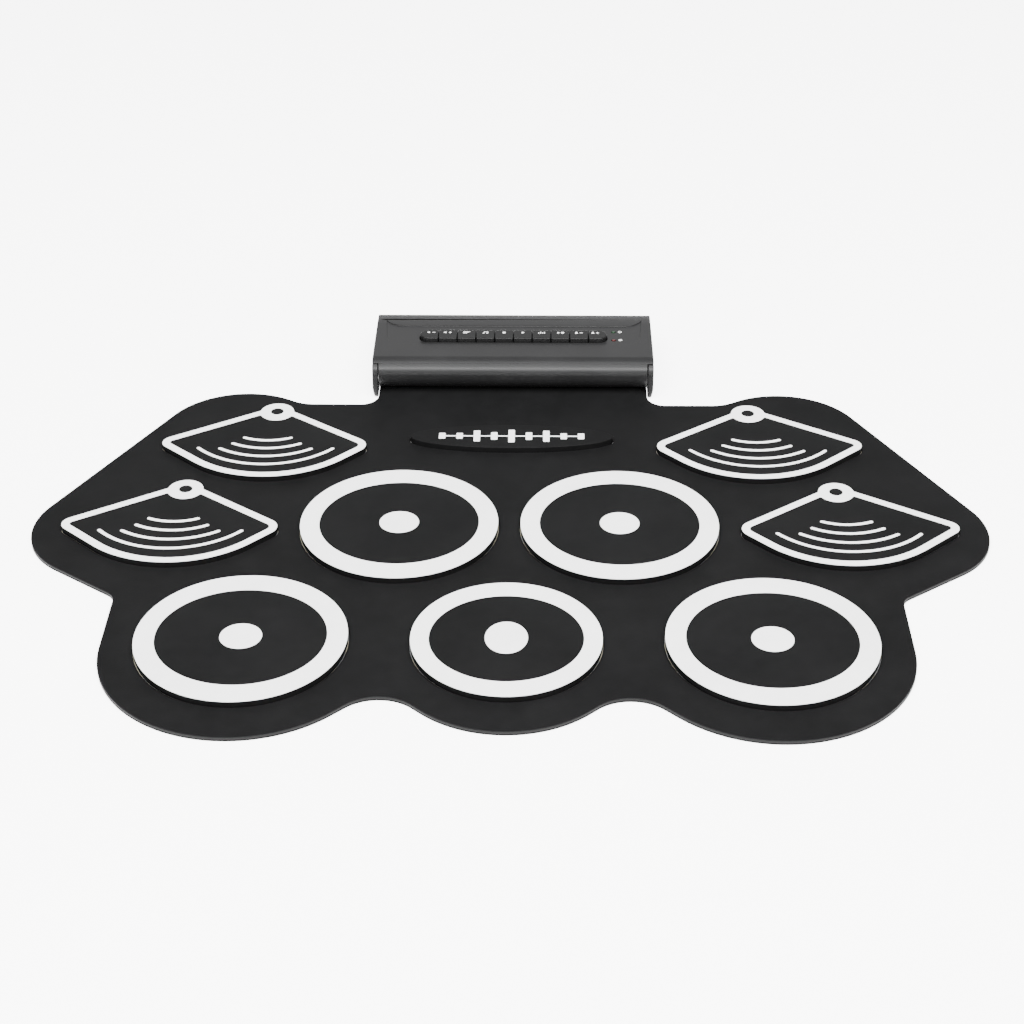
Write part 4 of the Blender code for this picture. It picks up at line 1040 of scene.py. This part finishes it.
def makeSockets():
    z = connectorZ()
    for node, name in jacks.items():
        low, high = (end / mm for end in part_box(node))
        x, half, back = (low.x + high.x) / 2, jack["body"] / 2, high.y
        nose, bore, collar = jack["nose"], jack["bore"], jack["collar"]
        block = boxPoints(x - half, x + half, low.z, z + half, jack["bodyCorner"])
        body = backPiece([block], low.y, back - jack["bodyBack"], jack["bodyEdge"])
        tube = [circlePoints((x, z), nose, 48), circlePoints((x, z), bore, 48)]
        tube = backPiece(tube, back - jack["noseLength"], back, jack["noseEdge"])
        settle(joined("jack", [body, tube]), name, "kit", "socket", finishes["socket"], node)
        bore += jack["collarFit"]
        rings = [circlePoints((x, z), collar, 48), circlePoints((x, z), bore, 48)]
        sleeve = backPiece(rings, back - jack["collarLength"], back + jack["collarProud"], jack["collarEdge"])
        half, springLow, springHigh, depth = jack["spring"]
        leaf = boxPoints(x - half, x + half, z + springLow, z + springHigh)
        spring = backPiece([leaf], back - jack["bodyBack"], back - depth)
        settle(joined("collar", [sleeve, spring]), name + "Collar", "kit", "socket", finishes["nickel"])
    low, high = (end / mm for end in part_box("usb_socket"))
    x, half, rise, wall = (low.x + high.x) / 2, (high.x - low.x) / 2, usb["rise"], usb["wall"]
    outer = boxPoints(x - half, x + half, z - rise, z + rise, usb["corner"])
    inner = boxPoints(x - half + wall, x + half - wall, z - rise + wall, z + rise - wall, wall)
    stopBack = low.y + usb["stop"]
    tubeFront = stopBack - usb["lap"]
    tube = backPiece([outer, inner], tubeFront, high.y, usb["edge"])
    stop = backPiece([outer], low.y, stopBack, usb["edge"])
    settle(joined("usb", [tube, stop]), "usbShell", "kit", "steel", finishes["nickel"], "usb_socket")
    half, under, over, depth, edge = usb["tongue"]
    tongue = backPiece([boxPoints(x - half, x + half, z + under, z + over)], tubeFront, high.y - depth, edge)
    settle(tongue, "usbTongue", "kit", "steel", finishes["socket"])
    half, under, over, start, depth = usb["contact"]
    contacts = []
    for index in range(usb["contacts"]):
        middle = x + (index - (usb["contacts"] - 1) / 2) * usb["pitch"]
        loop = boxPoints(middle - half, middle + half, z + under, z + over)
        contacts.append(backPiece([loop], tubeFront + start, high.y - depth))
    settle(joined("contacts", contacts), "usbContacts", "kit", "steel", finishes["gold"])
    print("sockets made")


slider = {
    "knob": (2.0, 1.1, 0.3, 0.15),  # half width, half height, corner, edge
    "knobFront": 0.5,
    "knobShy": 0.35,                # the ribs stand this far proud of the knob
    "ribs": 4,
    "ribPitch": 0.9,
    "rib": (0.2, 0.9, 0.15, 0.1),
    "ribLength": 0.9,
    "shoe": 1.4,                    # thickness of the part behind the wall
    "shoeCorner": 0.4,
    "shoeEdge": 0.1,
}


def makeSlider():
    low, high = (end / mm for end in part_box("power_slider"))
    x, z = (low.x + high.x) / 2, (low.z + high.z) / 2
    half, rise, corner, edge = slider["knob"]
    knobLoop = boxPoints(x - half, x + half, z - rise, z + rise, corner)
    parts = [backPiece([knobLoop], low.y + slider["knobFront"], high.y - slider["knobShy"], edge)]
    half, rise, corner, edge = slider["rib"]
    for index in range(slider["ribs"]):
        middle = x + (index - (slider["ribs"] - 1) / 2) * slider["ribPitch"]
        loop = boxPoints(middle - half, middle + half, z - rise, z + rise, corner)
        parts.append(backPiece([loop], high.y - slider["ribLength"], high.y, edge))
    shoeLoop = boxPoints(low.x, high.x, low.z, high.z, slider["shoeCorner"])
    parts.append(backPiece([shoeLoop], low.y, low.y + slider["shoe"], slider["shoeEdge"]))
    settle(joined("switch", parts), "powerSwitch", "power_slider", "key", finishes["key"], "power_slider")
    print("power switch made")


def makeFixings():
    for number in range(1, 5):
        low, high = (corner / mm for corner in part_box(f"foot_{number}"))
        x, y, radius = (low.x + high.x) / 2, (low.y + high.y) / 2, (high.x - low.x) / 2
        foot = platePiece([circlePoints((x, y), radius, 48)], 0.0, high.z, 0.3, rimSteps=3)
        rings = [platePiece([ovalPoints((x, y), size + 0.25, size + 0.25, 48), circlePoints((x, y), size, 48)],
                            -0.5, 0.12) for size in (1.0, 2.0, 3.0)]
        cutAway(foot, *rings)
        settle(foot, f"rubberFoot{number}", "kit", "foot_rubber", finishes["rubber"], f"foot_{number}")
        low, high = (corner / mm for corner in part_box(f"screw_{number}"))
        x, y, radius = (low.x + high.x) / 2, (low.y + high.y) / 2, (high.x - low.x) / 2
        head = platePiece([circlePoints((x, y), radius, 40)], low.z, low.z + 1.2, 0.35, rimSteps=3)
        slot = platePiece([shifted(crossPoints(1.15, 0.25), x, y)], low.z - 1.0, low.z + 0.7)
        cutAway(head, slot)
        shank = platePiece([circlePoints((x, y), 1.2, 32)], low.z + 1.1, high.z)
        settle(joined(f"caseScrew{number}", [head, shank]), f"caseScrew{number}", "kit", "steel",
               finishes["steel"], f"screw_{number}")
    print("fixings made")


def dressHidden():  # pieces inside the housing and the mat stay as they are, in their own finish
    for node, finish in (("main_board", "board"), ("sensor_film", "film"), ("neck_clamp", "housing")):
        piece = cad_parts[node]
        piece.data.materials.clear()
        piece.data.materials.append(finishes[finish])


studio = {
    "camera": (0.01353, kitY - 0.78528, 0.54374),
    "look": (-0.01479, 0.99989),  # the way it faces, on plan
    "pitch": 32.688,
    "roll": 0.176,
    "lens": 74.94,
    "world": 0.3,
    "floor": (0.86, 0.86, 0.855),
    "floorGlow": 5.0,
}
studioLights = (  # name, place, aimed at, width, depth, watts
    ("overheadSoftbox", (0.0, -0.5, 1.65), (0.0, -0.5, 0.0), 2.8, 1.5, 150.0),  # gives no gloss
    ("skyPanel", (0.0, -0.6, 1.6), (0.0, -0.6, 0.0), 2.8, 1.4, 24.0),
    ("frontStrip", (0.0, -1.25, 1.02), (0.0, 0.12, 0.0), 2.2, 0.2, 34.0),
    ("backPanel", (0.0, 2.6, 0.85), (0.0, 0.0, 0.0), 3.4, 1.6, 9.0),
)


def makeStudio():
    sceneNow = bpy.context.scene
    cameraData = bpy.data.cameras.new("camera")
    cameraData.lens = studio["lens"]
    cameraData.sensor_width = 36.0
    cameraData.clip_start = 0.01
    camera = bpy.data.objects.new("camera", cameraData)
    pitch, roll = math.radians(studio["pitch"]), math.radians(studio["roll"])
    flat = Vector((*studio["look"], 0.0)).normalized()
    forward = flat * math.cos(pitch) - Vector((0.0, 0.0, math.sin(pitch)))
    right = Vector((flat.y, -flat.x, 0.0))
    down = forward.cross(right)
    acrossView = right * math.cos(roll) + down * math.sin(roll)
    downView = forward.cross(acrossView)
    turn = Matrix((acrossView, -downView, -forward)).transposed().to_4x4()
    camera.matrix_world = Matrix.Translation(studio["camera"]) @ turn
    sceneNow.collection.objects.link(camera)
    sceneNow.camera = camera

    selectNone()
    bpy.ops.mesh.primitive_plane_add(size=14.0, location=(0.0, 0.0, 0.0))
    floor = bpy.context.object
    floor.name = "studioFloor"
    recipe = Recipe("floorPaper")
    tone = recipe.noise(90, 3)
    recipe.set(Base_Color=recipe.mix([0.97 * part for part in studio["floor"]], studio["floor"], tone))
    recipe.set(Roughness=0.8, Emission_Color=(1.0, 1.0, 1.0, 1.0), Emission_Strength=studio["floorGlow"])
    floor.data.materials.append(recipe.material)

    world = bpy.data.worlds.new("studioWorld")
    world.use_nodes = True
    backdrop = world.node_tree.nodes["Background"]
    backdrop.inputs["Color"].default_value = (1.0, 1.0, 1.0, 1.0)
    backdrop.inputs["Strength"].default_value = studio["world"]
    sceneNow.world = world

    for name, place, aim, width, depth, watts in studioLights:
        data = bpy.data.lights.new(name, "AREA")
        data.shape = "RECTANGLE"
        data.size, data.size_y, data.energy = width, depth, watts
        lamp = bpy.data.objects.new(name, data)
        lamp.location = place
        lamp.rotation_euler = (Vector(aim) - Vector(place)).to_track_quat("-Z", "Y").to_euler()
        lamp.visible_glossy = name != "overheadSoftbox"
        sceneNow.collection.objects.link(lamp)
    print("studio set")


makeMat()
makeDrums()
makeCymbals()
makeNameplate()
makeShell()
makeCheeks()
makeTray()
makeKeys()
makeLamps()
makeSockets()
makeSlider()
makeFixings()
dressHidden()
print("all pieces made")
makeStudio()
